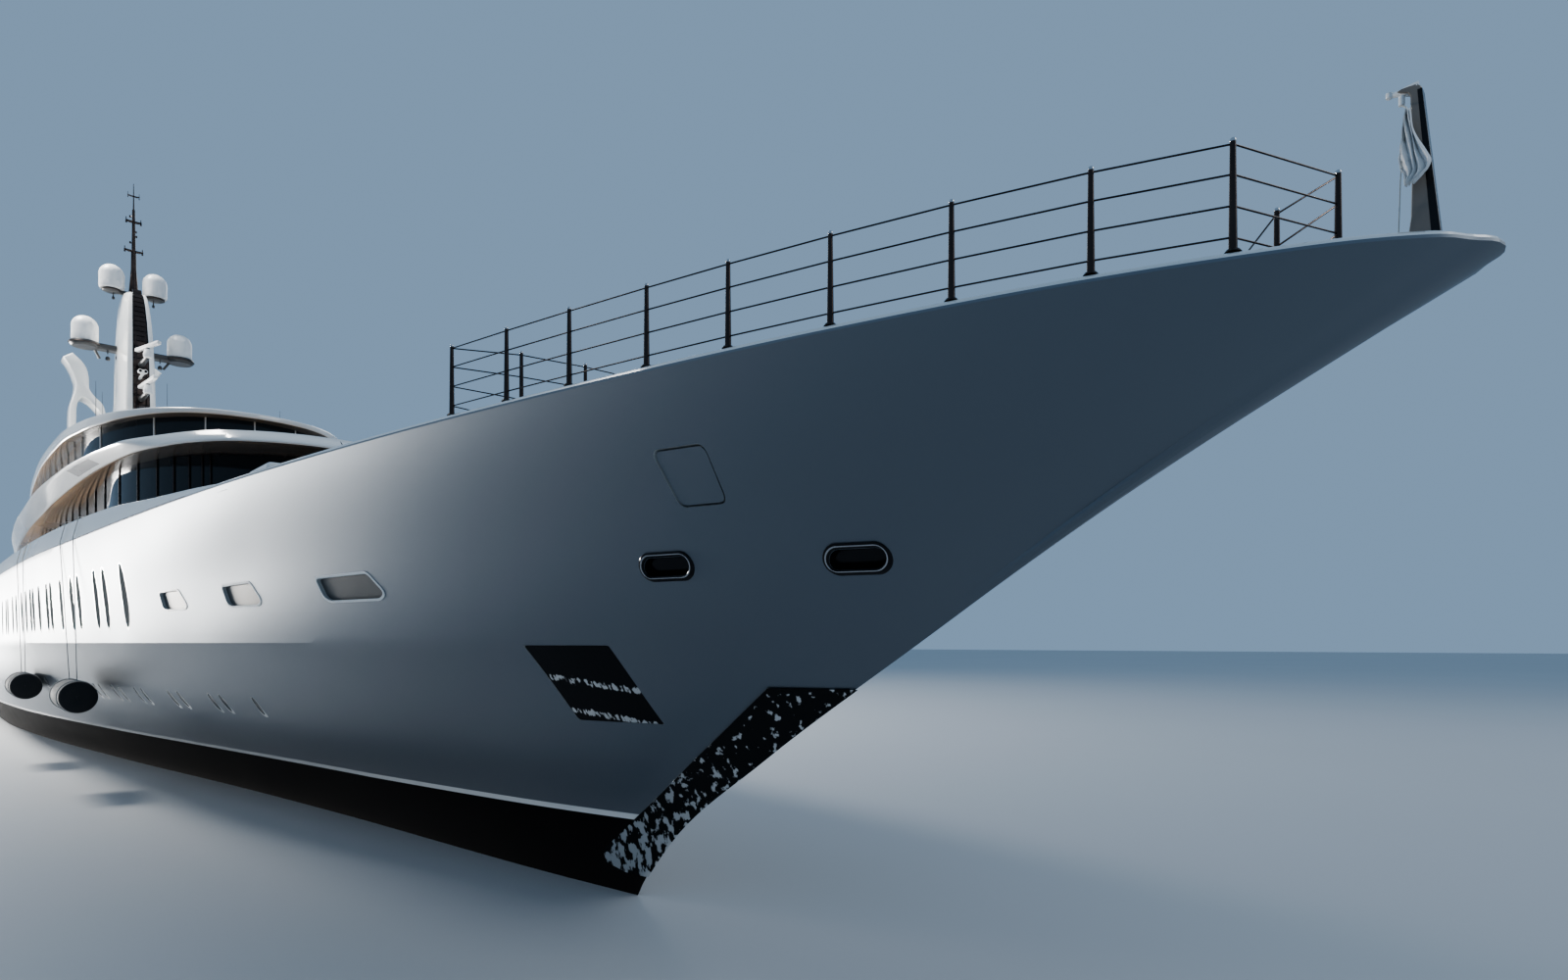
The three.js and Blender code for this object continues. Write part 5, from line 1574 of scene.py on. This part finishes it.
POLE = (
    (32.03, 0.36), (32.9, 0.27), (34.2, 0.18), (35.6, 0.16), (35.62, 0.13), (38.8, 0.09), (38.82, 0.05), (40.8, 0.02)
)
CROSSTREES = ((35.6, 0.6), (37.85, 0.5), (39.82, 0.38))
WING_AFT, WING_LONG, WING_FOOT = 94.2, 2.0, 19.053
WING = (  # out, up above the hardtop
    (3.0, 0), (2.95, 3.5), (2.92, 5.9), (2.77, 6.75), (2.6, 7.45), (2.55, 8.15), (2.72, 8.85), (2.98, 9.5),
    (3.35, 10.1), (2.74, 10.55), (2.13, 9.95), (1.82, 9.4), (1.69, 8.68), (1.64, 7.75), (1.22, 7.12),
    (0.82, 6.7), (0.6, 6.1), (0.38, 4), (0.25, 0), (0.65, 0), (0.78, 4.4), (0.95, 5.85), (1.25, 6.35),
    (1.75, 6.85), (2.12, 6.95), (2.38, 6.6), (2.5, 5.8), (2.52, 3.5), (2.55, 0),
)
WING_SHARP = (0, 8, 9, 18, 19, 28)


def arm_loop(aft, reach, disc, half, side, inset):
    """Plan (aft, out) of a mast arm that widens into a disc at its end."""
    corner = asin(min(1, (half - inset * 0.5) / (disc - inset)))
    turns = [corner + (2 * pi - 2 * corner) * k / 16 for k in range(17)]
    points = [(aft + (disc - inset) * sin(turn), reach - (disc - inset) * cos(turn)) for turn in turns]
    points = [(aft + half - 0.5 * inset, 0.0)] + points + [(aft - half + 0.5 * inset, 0.0)]
    return [(a, side * out) for a, out in points]


def mast_tower():
    tower = Builder()
    rings = []
    for up, front, rear, fore_half, half in TOWER_LEVELS:
        corners = (
            (front, 0), (front, 0.6 * fore_half), (front, fore_half - 0.1), (front + 0.03, fore_half - 0.03),
            (front + 0.1, fore_half), (82.2, half * 0.985), (82.7, half), (83.7, half), (84.1, half * 0.98),
            (rear - 0.12, half * 0.8), (rear, half * 0.66), (rear, 0)
        )
        side = [at(min(max(aft, front), rear), out, up) for aft, out in corners]
        rings.append(side + mirrored(side[1:-1]))
    tower.loft(rings)
    tower.piece(
        "mast_tower_shell", ("gloss_white", "gloss_black"), "white_paint", "mast_tower", angle=28, rule=tower_rule
    )


def mast_spine():
    spine = Builder()
    for low, high, wide_low, wide_high in ((27.6, 32.3, 0.42, 0.26), (19.06, 27.4, 0.5, 0.42)):
        for step in range(12):
            a, b = low + (high - low) * step / 12, low + (high - low) * (step + 0.86) / 12
            places = []
            for up in (a, b):
                share = (up - low) / (high - low)
                wide = wide_low + (wide_high - wide_low) * share
                row = [level for level in zip(TOWER_LEVELS, TOWER_LEVELS[1:]) if level[0][0] <= up + 0.01]
                (u0, f0, *_), (u1, f1, *_) = row[-1]
                front = f0 + (f1 - f0) * min(1, (up - u0) / (u1 - u0))
                places.append([
                    at(front - 0.05, -wide, up), at(front - 0.05, wide, up), at(front + 0.2, wide, up),
                    at(front + 0.2, -wide, up),
                ])
            spine.loft(places)
    for side in (-0.3, 0.3):
        spine.tube([at(79.62, side, 19.1), at(79.8, side, 23.5), at(80.15, side, 27.9), at(80.62, side * 0.9, 29.5),
                    at(81.2, side * 0.75, 31.3), at(82.2, side * 0.6, 32.3)], 0.0055, 8)
    spine.piece("mast_spine", *BRONZE)


def mast_arms():
    arms = Builder()
    for side in (1, -1):
        for top, reach, disc, half, thick in (LOWER_ARM, UPPER_ARM):
            levels = ((thick, 0.16), (0.75 * thick, 0.05), (0.5 * thick, 0), (0.2 * thick, 0.01), (0, 0.05))
            arms.loft([
                [at(a, out, top - drop) for a, out in arm_loop(MAST_AFT, reach, disc, half, side, inset)]
                for drop, inset in levels
            ])
        for top, reach, disc, _, thick in (LOWER_ARM, UPPER_ARM):
            centre = at(MAST_AFT, side * reach, top - 0.45 * thick)
            rim = [centre + SCALE * (disc + 0.005) * Vector((c, s, 0)) for c, s in circle(36, True)]
            arms.tube(rim, SCALE * 0.035, 8, pick=1)
        for aft, out, drop, radius in ((83.0, 1.62, 0.75, 0.014), (83.1, 1.05, 0.55, 0.009)):
            top = at(aft, side * out, LOWER_ARM[0] - 0.25)
            arms.tube([top, top - upward(SCALE * drop * 0.6)], 0.004, 10)
            arms.lathe(
                [(0, -0.02), (radius, -0.016), (radius * 1.1, 0), (radius * 0.6, 0.012), (0, 0.014)],
                top - upward(SCALE * drop), sides=18
            )
        lamp = at(MAST_AFT, side * 1.25, UPPER_ARM[0] - 0.2)
        arms.tube([lamp, lamp - upward(0.035)], 0.004, 10)
        arms.lathe([(0, -0.014), (0.009, -0.01), (0.01, 0.004), (0.006, 0.01), (0, 0.012)],
                   lamp - upward(0.042), sides=16)
        arms.tube([at(83.6, side * 2.35, LOWER_ARM[0] - 0.3), at(84.0, side * 2.0, LOWER_ARM[0] - 0.85)], 0.009, 10)
    arms.piece("mast_arms", ("satin_grey", "dark_bronze"), "dark_bronze", angle=40)


def mast_pole():
    pole = Builder()
    pole.lathe(
        [(0, 3.203)] + [(SCALE * r, SCALE * up) for up, r in POLE] + [(0, 4.08)], (MARK_X - SCALE * MAST_AFT, 0, 0),
        sides=24
    )
    for up, out in CROSSTREES:
        thick = 0.006 if up < 39 else 0.003
        for shift in (-0.05, 0.05):
            pole.tube([
                at(MAST_AFT + shift, -out, up + 0.09), at(MAST_AFT + shift, -0.6 * out, up + 0.02),
                at(MAST_AFT + shift, 0.6 * out, up + 0.02), at(MAST_AFT + shift, out, up + 0.09),
            ], [0.6 * thick, 1.25 * thick, 1.25 * thick, 0.6 * thick], 10)
        for side in (-1, 1):
            foot = at(MAST_AFT, side * out * 0.92, up + 0.05)
            pole.tube([foot, foot + upward(0.026)], thick * 0.5, 8)
            pole.lathe([(0, -0.014), (thick, -0.012), (thick, 0), (thick * 0.5, 0.004), (0, 0.005)],
                       foot - upward(0.006), sides=12)
    for up, turn in ((36.7, 0.6), (37.2, 2.4), (38.3, 4.0), (36.2, 5.2)):
        place = at(MAST_AFT, 0, up)
        reach = Vector((cos(turn), sin(turn), 0)) * 0.026
        pole.tube([place, place + reach], 0.003, 8)
        pole.lathe([(0, -0.008), (0.006, -0.006), (0.006, 0.008), (0, 0.01)], place + reach, sides=12)
    pole.piece("mast_pole_dark", *BRONZE, "mast_pole")


def mast_domes():
    domes = Builder()
    for level, reach, share in ((*LOWER_ARM[:2], 1.0), (*UPPER_ARM[:2], 0.97)):
        radius, height = SCALE * RADOME[0] * share, SCALE * RADOME[1] * share
        profile = [(0, 0), (0.9 * radius, 0), (0.965 * radius, 0.004), (radius, 0.022), (radius, 0.05)]
        profile += [(0.988 * radius, 0.0515), (0.988 * radius, 0.0535), (radius, 0.055)]
        turns = [0.5 * pi * k / 12 for k in range(13)]
        profile += [(radius * cos(turn), height - radius + radius * sin(turn)) for turn in turns]
        for side in (1, -1):
            centre = at(MAST_AFT, side * reach, level) + upward(SEAT)
            domes.lathe(profile, centre, sides=48)
            domes.lathe(
                [(0.5 * radius, -0.001), (0.86 * radius, -0.001), (0.86 * radius, 0.0015), (0.5 * radius, 0.0015)],
                centre, sides=48
            )
    domes.piece(
        "radomes", "radome_white", "white_paint",
        *(f"radome_{row}_{side}" for row in ("lower", "upper") for side in ("port", "starboard")), angle=30
    )


def mast_kit():
    kit = Builder()
    for _, aft, up, _, _ in SCANNERS:
        place = at(aft, 0, up)
        kit.tube([at(80.1, 0, up - 0.5), place - upward(0.05)], [0.02, 0.016], 14)
        kit.lathe([(0, -0.062), (0.024, -0.06), (0.028, -0.05), (0.028, -0.03), (0.022, -0.012), (0.02, 0), (0, 0)],
                  place, sides=28, pick=1)
    kit.piece("radar_brackets", ("satin_grey", "radome_white"), "white_paint", "radar_base_upper", "radar_base_lower")


def mast_watch():
    watch = Builder()
    for out in (-0.16, 0.16):
        centre = at(78.6, out - 0.1, 25.35)
        watch.lathe([(0, -0.02), (0.0135, -0.018), (0.0135, 0.016), (0.0105, 0.02), (0.0105, 0.017), (0, 0.017)],
                    centre, axis="X", sides=24)
        watch.lathe([(0, 0.0165), (0.0098, 0.0165), (0.0098, 0.0185), (0, 0.0195)], centre, axis="X", sides=20, pick=1)
    watch.tube([at(80.1, -0.1, 25.1), at(78.7, -0.1, 25.15)], 0.009, 12)
    watch.tube([at(78.7, -0.1, 25.15), at(78.7, -0.1, 25.5)], 0.012, 12)
    place = at(78.4, 0.1, 22.5)
    watch.tube([at(80.0, 0.1, 22.2), place - upward(0.03)], 0.01, 12)
    watch.lathe(
        [(0, -0.05), (0.04, -0.045), (0.052, -0.02), (0.052, 0.012), (0.044, 0.02), (0, 0.022)], place, sides=32, pick=1
    )
    watch.piece("mast_cameras", ("radome_white", "gloss_black"), "grey_paint")


class YACHT_OT_mast(bpy.types.Operator):
    """Mast tower, arms, pole, lamps and aerials"""
    bl_idname = "yacht.mast"
    bl_label = "Mast"

    def execute(self, context):
        for part in (mast_tower, mast_spine, mast_arms, mast_pole, mast_domes, mast_kit, mast_watch):
            part()
        return {"FINISHED"}


def build_radars():
    for name, aft, up, half, yaw in SCANNERS:
        work = Builder()
        centre = at(aft, 0, up) + upward(0.0005)
        turn = Matrix.Rotation(radians(yaw), 3, "Z")
        rings = []
        for share, size in ((-1, 0.55), (-0.985, 0.85), (-0.95, 1), (0.95, 1), (0.985, 0.85), (1, 0.55)):
            ring = [(eased(c, 0.6) * 0.016 * size, 0.021 + eased(s, 0.6) * 0.013 * size) for c, s in circle(16)]
            rings.append([centre + turn @ Vector((share * half, y, z)) for y, z in ring])
        work.loft(rings)
        work.lathe([(0, 0), (0.014, 0), (0.014, 0.006), (0.01, 0.01), (0, 0.01)], centre, sides=24, pick=1)
        for share in (-0.55, 0.55):
            foot = centre + turn @ Vector((share * half, 0, 0.0075))
            work.tube([foot - turn @ forward(0.006), foot + turn @ forward(0.006)], 0.002, 8, pick=1)
        work.piece(
            f"radar_beam_{name}", ("radome_white", "satin_grey"), "white_paint", f"radar_scanner_{name}",
            body=f"radar_{name}"
        )


class YACHT_OT_radars(bpy.types.Operator):
    """Turning radar scanners, each on its own body"""
    bl_idname = "yacht.radars"
    bl_label = "Radar scanners"

    def execute(self, context):
        build_radars()
        return {"FINISHED"}


class YACHT_OT_aerials(bpy.types.Operator):
    """Whip aerials on the roof and hardtop"""
    bl_idname = "yacht.aerials"
    bl_label = "Aerials"

    def execute(self, context):
        work = Builder()
        for aft, out, foot, up in (
            (77.5, -1.2, HARDTOP_TOP, 24.5), (77.5, 1.2, HARDTOP_TOP, 24.5), (79, -2.4, HARDTOP_TOP, 23.5),
            (79, 2.4, HARDTOP_TOP, 23.5), (62, -4.6, ROOF_TOP, 20.2), (62, 4.6, ROOF_TOP, 20.2)
        ):
            work.tube(
                [at(aft, out, foot - 0.01), at(aft, out, foot + 0.4), at(aft, out, up)], [0.004, 0.0025, 0.0008], 10
            )
            work.lathe(
                [(0, 0), (0.009, 0), (0.008, 0.006), (0.004, 0.012), (0, 0.012)], at(aft, out, foot - 0.005), sides=16
            )
        for aft, out in ((68, -5.6), (68, 5.6), (74, -3.6), (74, 3.6)):
            foot = ROOF_TOP
            work.lathe(
                [(0, 0), (0.012, 0), (0.012, 0.02), (0.008, 0.03), (0, 0.034)], at(aft, out, foot - 0.01), sides=18
            )
        work.piece("whip_aerials", "satin_grey", "grey_paint")
        return {"FINISHED"}


def build_wings():
    count = len(WING)
    loop = []
    for i in range(count):
        p0, p1, p2, p3 = (Vector(WING[(i + k) % count]) for k in (-1, 0, 1, 2))
        m1 = (p2 - p0) * 0.42 if i not in WING_SHARP else (p2 - p1)
        m2 = (p3 - p1) * 0.42 if (i + 1) % count not in WING_SHARP else (p2 - p1)
        loop += [hermite(k / 7, p1, m1, p2, m2) for k in range(7)]
    for side, side_name in SIDES:
        work = Builder()
        edge = ((0.5, 0.09), (0.49, 0.04), (0.47, 0.012), (0.44, 0))
        work.loft([
            [at(WING_AFT - WING_LONG * share, side * p.x, WING_FOOT + max(0.0, p.y)) for p in grown(loop, -inset)]
            for share, inset in [(-share, inset) for share, inset in edge] + [*reversed(edge)]
        ])
        work.piece(f"exhaust_wing_{side_name}", *WHITE, f"wing_{side_name}", angle=40)


class YACHT_OT_wings(bpy.types.Operator):
    """Sculpted exhaust wings on the hardtop's aft end"""
    bl_idname = "yacht.wings"
    bl_label = "Exhaust wings"

    def execute(self, context):
        build_wings()
        return {"FINISHED"}


CAP_RISE = (  # aft, height above the sheer
    (24.5, -0.06), (27, 0.1), (29, 0.2), (31, 0.3), (33, 0.43), (36, 0.6), (40, 0.7), (44, 0.75), (79, 0.75),
    (84, 0.45), (88, -0.06),
)


def build_bulwark():
    cap, seam = Builder(), Builder()
    for side in (1, -1):
        rings = []
        for k in range(121):
            aft = 24.6 + (87.9 - 24.6) * k / 120
            out, up, rise = along(DECK_OUT, aft), along(SHEER_UP, aft), along(CAP_RISE, aft)
            lean = 0.2 * max(0, rise)
            rings.append(
                [
                    at(aft, side * (out - inset), up + height) for inset,
                    height in (
                        (0.32, -0.25), (0.04, -0.25), (0.03, -0.07), (0.03 + lean, rise - 0.1),
                        (0.045 + lean, rise - 0.04), (0.08 + lean, rise - 0.008), (0.13 + lean, rise), (0.26, rise),
                        (0.3, rise - 0.015), (0.32, rise - 0.06)
                    )
                ]
            )
        cap.loft(rings)
        seam.tube([
            at(aft, side * (along(DECK_OUT, aft) - 0.025), along(SHEER_UP, aft) - 0.085) for aft in
            [27.5 + 1.5 * k for k in range(39)]
        ], 0.0024, 6)
    cap.piece("bulwark_cap", *WHITE, angle=40)
    seam.piece("bulwark_seam", *BRONZE)


class YACHT_OT_bulwark(bpy.types.Operator):
    """White cap of the bulwark along the side decks and the dark seam under it"""
    bl_idname = "yacht.bulwark"
    bl_label = "Bulwark cap"

    def execute(self, context):
        build_bulwark()
        return {"FINISHED"}


AFT_POSTS = ((101.8, 6.0, AFT_DECK_UP, AFT_SLAB_UP), (95.8, 5.6, AFT_SLAB_TOP, BRIDGE_DECK_UP))
PLATFORM = ((116.3, 6.0), (117.3, 4.8))  # corners behind the transom
TRANSOM_AFT = 111


def build_stern():
    deck = Builder()
    slab(deck, AFT_SLAB, AFT_SLAB_UP, AFT_SLAB_TOP, 0.08)
    for aft, out, low, high in AFT_POSTS:
        low, high = SCALE * low, SCALE * high
        profile = [
            (0, low + 0.0005), (0.013, low + 0.0005), (0.012, low + 0.004), (0.0085, low + 0.008),
            (0.0085, high - 0.006), (0.012, high - 0.001), (0, high - 0.0005)
        ]
        for side in (1, -1):
            deck.lathe(profile, (MARK_X - SCALE * aft, side * SCALE * out, 0), sides=24, pick=3)
    deck = deck.piece("aft_deck_slab", ("gloss_white", "soffit_grey", "teak_deck", "polished_steel"))
    # Faces that look down take the soffit finish: painted shade under the slab
    deck.data.polygons.foreach_set("material_index", [
        3 if face.material_index == 3 else 1 if face.normal.z < -0.9 else 2 if face.normal.z > 0.99 else 0
        for face in deck.data.polygons
    ])
    finish(deck, "white_paint", "upper_deck_aft")

    platform = Builder()
    corners = [(TRANSOM_AFT + 0.003, 6.4), *PLATFORM]
    loop = corners + [(a, -out) for a, out in reversed(corners)]
    outline = rounded_corners([Vector(p) for p in loop], 0.4)
    levels = ((0.4, 0.14), (0.45, 0.05), (0.55, 0), (0.85, 0), (0.93, 0.04), (0.95, 0.12))
    platform.loft([
        [at(max(a - (inset if a > 112 else 0), TRANSOM_AFT + 0.003), out * (1 - inset / 6.4), up) for a, out in outline]
        for up, inset in levels
    ])
    platform.piece("bathing_platform", ("gloss_white", "teak_deck"), "white_paint", "stern_platform", rule=planks_rule)


class YACHT_OT_stern(bpy.types.Operator):
    """Aft deck with its posts and the bathing platform"""
    bl_idname = "yacht.stern"
    bl_label = "Aft decks and platform"

    def execute(self, context):
        build_stern()
        return {"FINISHED"}


SCREW_OUT, SCREW_UP, SCREW_AFT, SCREW_RADIUS = 3.1, -3.15, 103, 0.165
RUDDER_AFT = 107


def screw_and_blades(side, side_name, hub):
    screw = Builder()
    screw.lathe([(0, -0.04), (0.012, -0.036), (0.02, -0.022), (0.025, 0), (0.026, 0.03), (0.024, 0.035), (0, 0.035)],
                hub, axis="X", sides=32)
    for blade in range(5):
        turn = Matrix.Rotation(2 * pi * blade / 5, 3, "X")
        rings = []
        for share in shares(10):
            radius = 0.02 + (SCREW_RADIUS - 0.02) * share
            chord = 0.042 + 0.05 * sin(pi * min(1, share * 0.75 + 0.12)) - 0.05 * share**4
            chord *= sqrt(max(0.03, 1 - max(0, (share - 0.72) / 0.28) ** 2)) if share > 0.72 else 1
            pitch = side * atan2(0.055, radius + 0.012)
            thick = 0.0045 * (1 - share) + 0.0012
            ring = []
            for c, s in circle(12):
                c, t = 0.5 * chord * c, thick * s
                x = c * sin(abs(pitch)) * side - t * cos(pitch)
                y = c * cos(pitch) + t * sin(pitch) + 0.012 * share * side
                ring.append(hub + turn @ Vector((x * side, y, radius)))
            rings.append(ring)
        screw.loft(rings)
    screw.piece(
        f"propeller_bronze_{side_name}", "propeller_bronze", "propeller_bronze", f"propeller_{side_name}",
        body=f"screw_{side_name}", angle=40
    )


def shaft_and_strut(side, side_name, hub):
    y, z = hub.y, hub.z
    shaft = Builder()
    shaft.tube([Vector((MARK_X - 9.1, y, z + 0.062)), hub + forward(0.1), hub + forward(0.0356)], 0.011, 20)
    shaft.tube([hub + forward(0.045), hub + forward(0.055), hub + forward(0.13), hub + forward(0.142)],
               [0.014, 0.02, 0.02, 0.013], 22)
    shaft.piece(f"shaft_steel_{side_name}", "polished_steel", "steel", f"shaft_{side_name}")
    strut = Builder()
    foot = hub + forward(0.092)
    head = Vector((hub.x + 0.12, y * 0.86, z + 0.235))
    strut.loft([[place + Vector((0.022 * c, 0.0055 * s, 0)) for c, s in circle(16)] for place in (foot, head)])
    strut.piece(f"shaft_strut_{side_name}", "polished_steel", "steel")


def rudder_blade(side, side_name, _):
    rudder = Builder()
    stock = at(RUDDER_AFT, side * SCREW_OUT, 0)
    rings = []
    for up, lead, trail in (
        (-0.405, 0.095, -0.125), (-0.4, 0.108, -0.138), (-0.27, 0.118, -0.152), (-0.14, 0.124, -0.163),
        (-0.135, 0.115, -0.155)
    ):
        ring = []
        for c, s in circle(28):
            c = 0.5 * (1 + c)
            x = trail + (lead - trail) * c
            half = 0.0118 * (2.6 * sqrt(max(0, 1 - c)) * c**0.5) * (0.9 if up in (-0.405, -0.135) else 1)
            ring.append(stock + Vector((x, copysign(min(half, 0.0118), s), up)))
        rings.append(ring)
    rudder.loft(rings)
    rudder.tube([stock + upward(-0.15), stock + upward(-0.1165)], 0.016, 24)
    rudder.piece(
        f"rudder_blade_{side_name}", "boot_black", "hull_paint", f"rudder_{side_name}", body=f"steering_{side_name}",
        angle=40
    )


def stabiliser_fin(side, side_name, _):
    fin = Builder()
    low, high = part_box(f"fin_{side_name}")
    middle = (low[0] + high[0]) / 2
    root_out, tip_out = sorted((abs(low[1]), abs(high[1])))
    root, tip = Vector((middle, side * root_out, high[2])), Vector((middle - 0.005, side * tip_out, low[2]))
    across = (tip - root).cross(forward(1)).normalized()
    rings = []
    for share in (0, 0.08, 0.5, 0.94, 1):
        chord = (0.22 - 0.075 * share) * (0.96 if share in (0, 1) else 1)
        ring = []
        for c, s in circle(24):
            c = 0.5 * (1 + c)
            half = min(0.008, 0.018 * sqrt(max(0, 1 - c)) * c**0.5) * (0.7 if share == 1 else 1)
            ring.append(root.lerp(tip, share) + forward(-0.5 * chord + chord * c) + across * copysign(half, s))
        rings.append(ring)
    fin.loft(rings)
    fin.piece(f"stabiliser_fin_{side_name}", "boot_black", "hull_paint", f"fin_{side_name}", angle=40)


class YACHT_OT_running_gear(bpy.types.Operator):
    """Propellers, shafts, rudders and fins under the water"""
    bl_idname = "yacht.running_gear"
    bl_label = "Running gear"

    def execute(self, context):
        for side, side_name in ((1, "port"), (-1, "starboard")):
            hub = at(SCREW_AFT, side * SCREW_OUT, SCREW_UP)
            for part in (screw_and_blades, shaft_and_strut, rudder_blade, stabiliser_fin):
                part(side, side_name, hub)
        return {"FINISHED"}


FENDER_RADIUS, FENDER_UP, FENDER_LONG = 0.57, 3.67, 3.2
FENDERS = (("fore", 39.8), ("aft", 51.5))


def build_fenders():
    for name, aft in FENDERS:
        radius = SCALE * FENDER_RADIUS
        low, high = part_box(f"fender_{name}")
        y, z = low[1] + radius, SCALE * FENDER_UP
        bow = Vector((MARK_X - SCALE * aft, y, z))
        long = SCALE * FENDER_LONG
        profile = [(0, -long + 0.004), (0.012, -long + 0.002)]
        profile += [(radius - 0.008, -long), (radius - 0.002, -long + 0.003), (radius, -long + 0.01)]
        for k in range(1, 40):
            place = -long + 0.01 + (long - 0.02) * k / 40
            dent = 0.0012 if k % 10 == 0 else 0.0004 * sin(k * 1.7)
            profile.append((radius - abs(dent), place))
        profile += [(radius, -0.01), (radius - 0.002, -0.003), (radius - 0.008, 0), (0.012, -0.002), (0, -0.004)]
        roll = Builder()
        roll.lathe(profile, bow, axis="X", sides=44)
        for end in (0.001, -long - 0.001):
            centre = bow + forward(end)
            roll.lathe([(0, -0.002), (0.006, -0.002), (0.006, 0.002), (0, 0.002)], centre, axis="X", sides=16)
        roll.piece(f"fender_roll_{name}", "fender_cover", "fender_cover", f"fender_{name}", angle=40)
        ropes = Builder()
        for place in (aft + 0.45, aft + FENDER_LONG - 0.45):
            out, up = -along(DECK_OUT, place), along(SHEER_UP, place)
            rail = at(place, out - 0.03, up - 0.02)
            x = rail.x
            head = at(place, out + 0.14, up + along(CAP_RISE, place) + 0.02)
            ropes.tube([Vector((x, y, z + radius - 0.01)), rail, head, head + Vector((0, 0.03, 0.001))], 0.0014, 8)
            reach = radius + 0.001
            ropes.tube([Vector((x, y + reach * c, z + reach * s)) for c, s in circle(40, True)], 0.0014, 8)
        ropes.piece(f"fender_ropes_{name}", "rope_fibre", "fender_cover")


class YACHT_OT_fenders(bpy.types.Operator):
    """Dark roll fenders hung on ropes against the starboard side"""
    bl_idname = "yacht.fenders"
    bl_label = "Fenders"

    def execute(self, context):
        build_fenders()
        return {"FINISHED"}


def build_deck_gear():
    work = Builder()
    for side in (1, -1):
        centre = at(24, side * 5.35, FOREDECK_UP)
        rings = []
        for up, inset in ((0.0005, 0), (0.036, 0), (0.043, 0.002), (0.046, 0.006)):
            corners = [
                Vector((x * (0.085 - inset), y * (0.028 - inset), 0)) for x, y in ((-1, -1), (1, -1), (1, 1), (-1, 1))
            ]
            rings.append([centre + p + upward(up) for p in rounded_corners(corners, 0.009)])
        work.loft(rings)
    work.piece("foredeck_lockers", *WHITE)

    for slot in bpy.data.objects["wheelhouse_console"].material_slots:
        slot.material = FINISHES["satin_grey"]


class YACHT_OT_deck_gear(bpy.types.Operator):
    """Low lockers on the foredeck and the finish of the console in the wheelhouse"""
    bl_idname = "yacht.deck_gear"
    bl_label = "Deck gear"

    def execute(self, context):
        build_deck_gear()
        return {"FINISHED"}


STAGE_HALF = 60
LIGHT_COLOUR = (1.0, 0.965, 0.91)
LIGHTS = (  # name, place, target, size along and across, power, angle of spread
    ("key_light", (-11.0, -6.0, 0.8), (0, 0, 1.6), 5.0, 1.2, 1450, 180),
    ("front_fill", (11.0, 5.0, 7.0), (2, 0, 1.0), 6.0, 6.0, 220, 180),
    ("back_fill", (-9.0, 7.0, 7.0), (-2, 0, 1.0), 6.0, 6.0, 160, 180),
    ("top_light", (-3.0, -3.0, 8.5), (-2.2, 0, 1.6), 3.0, 3.0, 250, 75),
)


def build_stage(context):
    corners = [(STAGE_HALF * x, STAGE_HALF * y, 0) for x, y in ((-1, -1), (1, -1), (1, 1), (-1, 1))]
    floor = new_piece("stage_floor", corners, [(0, 1, 2, 3)], "stage_floor", body=None)
    world = bpy.data.worlds.new("studio")
    world.use_nodes = True
    Nodes(world.node_tree).fill(world.node_tree.nodes["Background"], Color=(0.48, 0.71, 1.0), Strength=0.43)
    context.scene.view_settings.look = "AgX - Medium High Contrast"
    context.scene.world = world
    for name, place, target, size, tall, power, wide in LIGHTS:
        data = bpy.data.lights.new(name, "AREA")
        data.shape = "ELLIPSE"
        data.size = size
        data.size_y = tall
        data.color = LIGHT_COLOUR
        data.energy = power
        data.spread = radians(wide)
        lamp = bpy.data.objects.new(name, data)
        lamp.location = place
        lamp.rotation_euler = (Vector(target) - Vector(place)).to_track_quat("-Z", "Y").to_euler()
        context.scene.collection.objects.link(lamp)


class YACHT_OT_stage(bpy.types.Operator):
    """Pale floor at the waterline, pale surroundings and soft studio light"""
    bl_idname = "yacht.stage"
    bl_label = "Stage and light"

    def execute(self, context):
        build_stage(context)
        return {"FINISHED"}


OPERATORS = (
    YACHT_OT_camera, YACHT_OT_finishes, YACHT_OT_jackstaff, YACHT_OT_hull, YACHT_OT_hull_fittings, YACHT_OT_hatches,
    YACHT_OT_foredeck_rail, YACHT_OT_bulwark, YACHT_OT_brows, YACHT_OT_houses, YACHT_OT_mast, YACHT_OT_radars,
    YACHT_OT_aerials, YACHT_OT_wings, YACHT_OT_stern, YACHT_OT_running_gear, YACHT_OT_fenders, YACHT_OT_deck_gear,
    YACHT_OT_stage
)


class YACHT_PT_panel(bpy.types.Panel):
    """Lists the yacht's pieces and sizes"""

    bl_idname = "YACHT_PT_panel"
    bl_label = "Motor Yacht"
    bl_space_type = "VIEW_3D"
    bl_region_type = "UI"
    bl_category = "Yacht"

    def draw(self, context):
        for group in (context.scene.yacht_sizes, context.scene.yacht_colours):
            for name in group.__annotations__:
                self.layout.prop(group, name)
        for operator in OPERATORS:
            self.layout.operator(operator.bl_idname)


CLASSES = (YachtSizes, YachtColours, *OPERATORS, YACHT_PT_panel)


def register():
    for cls in CLASSES:
        bpy.utils.register_class(cls)
    bpy.types.Scene.yacht_sizes = bpy.props.PointerProperty(type=YachtSizes)
    bpy.types.Scene.yacht_colours = bpy.props.PointerProperty(type=YachtColours)


def unregister():
    del bpy.types.Scene.yacht_colours
    del bpy.types.Scene.yacht_sizes
    for cls in reversed(CLASSES):
        bpy.utils.unregister_class(cls)


def main():
    register()
    for operator in OPERATORS:
        category, name = operator.bl_idname.split(".")
        getattr(getattr(bpy.ops, category), name)()


if __name__ == "__main__":
    main()
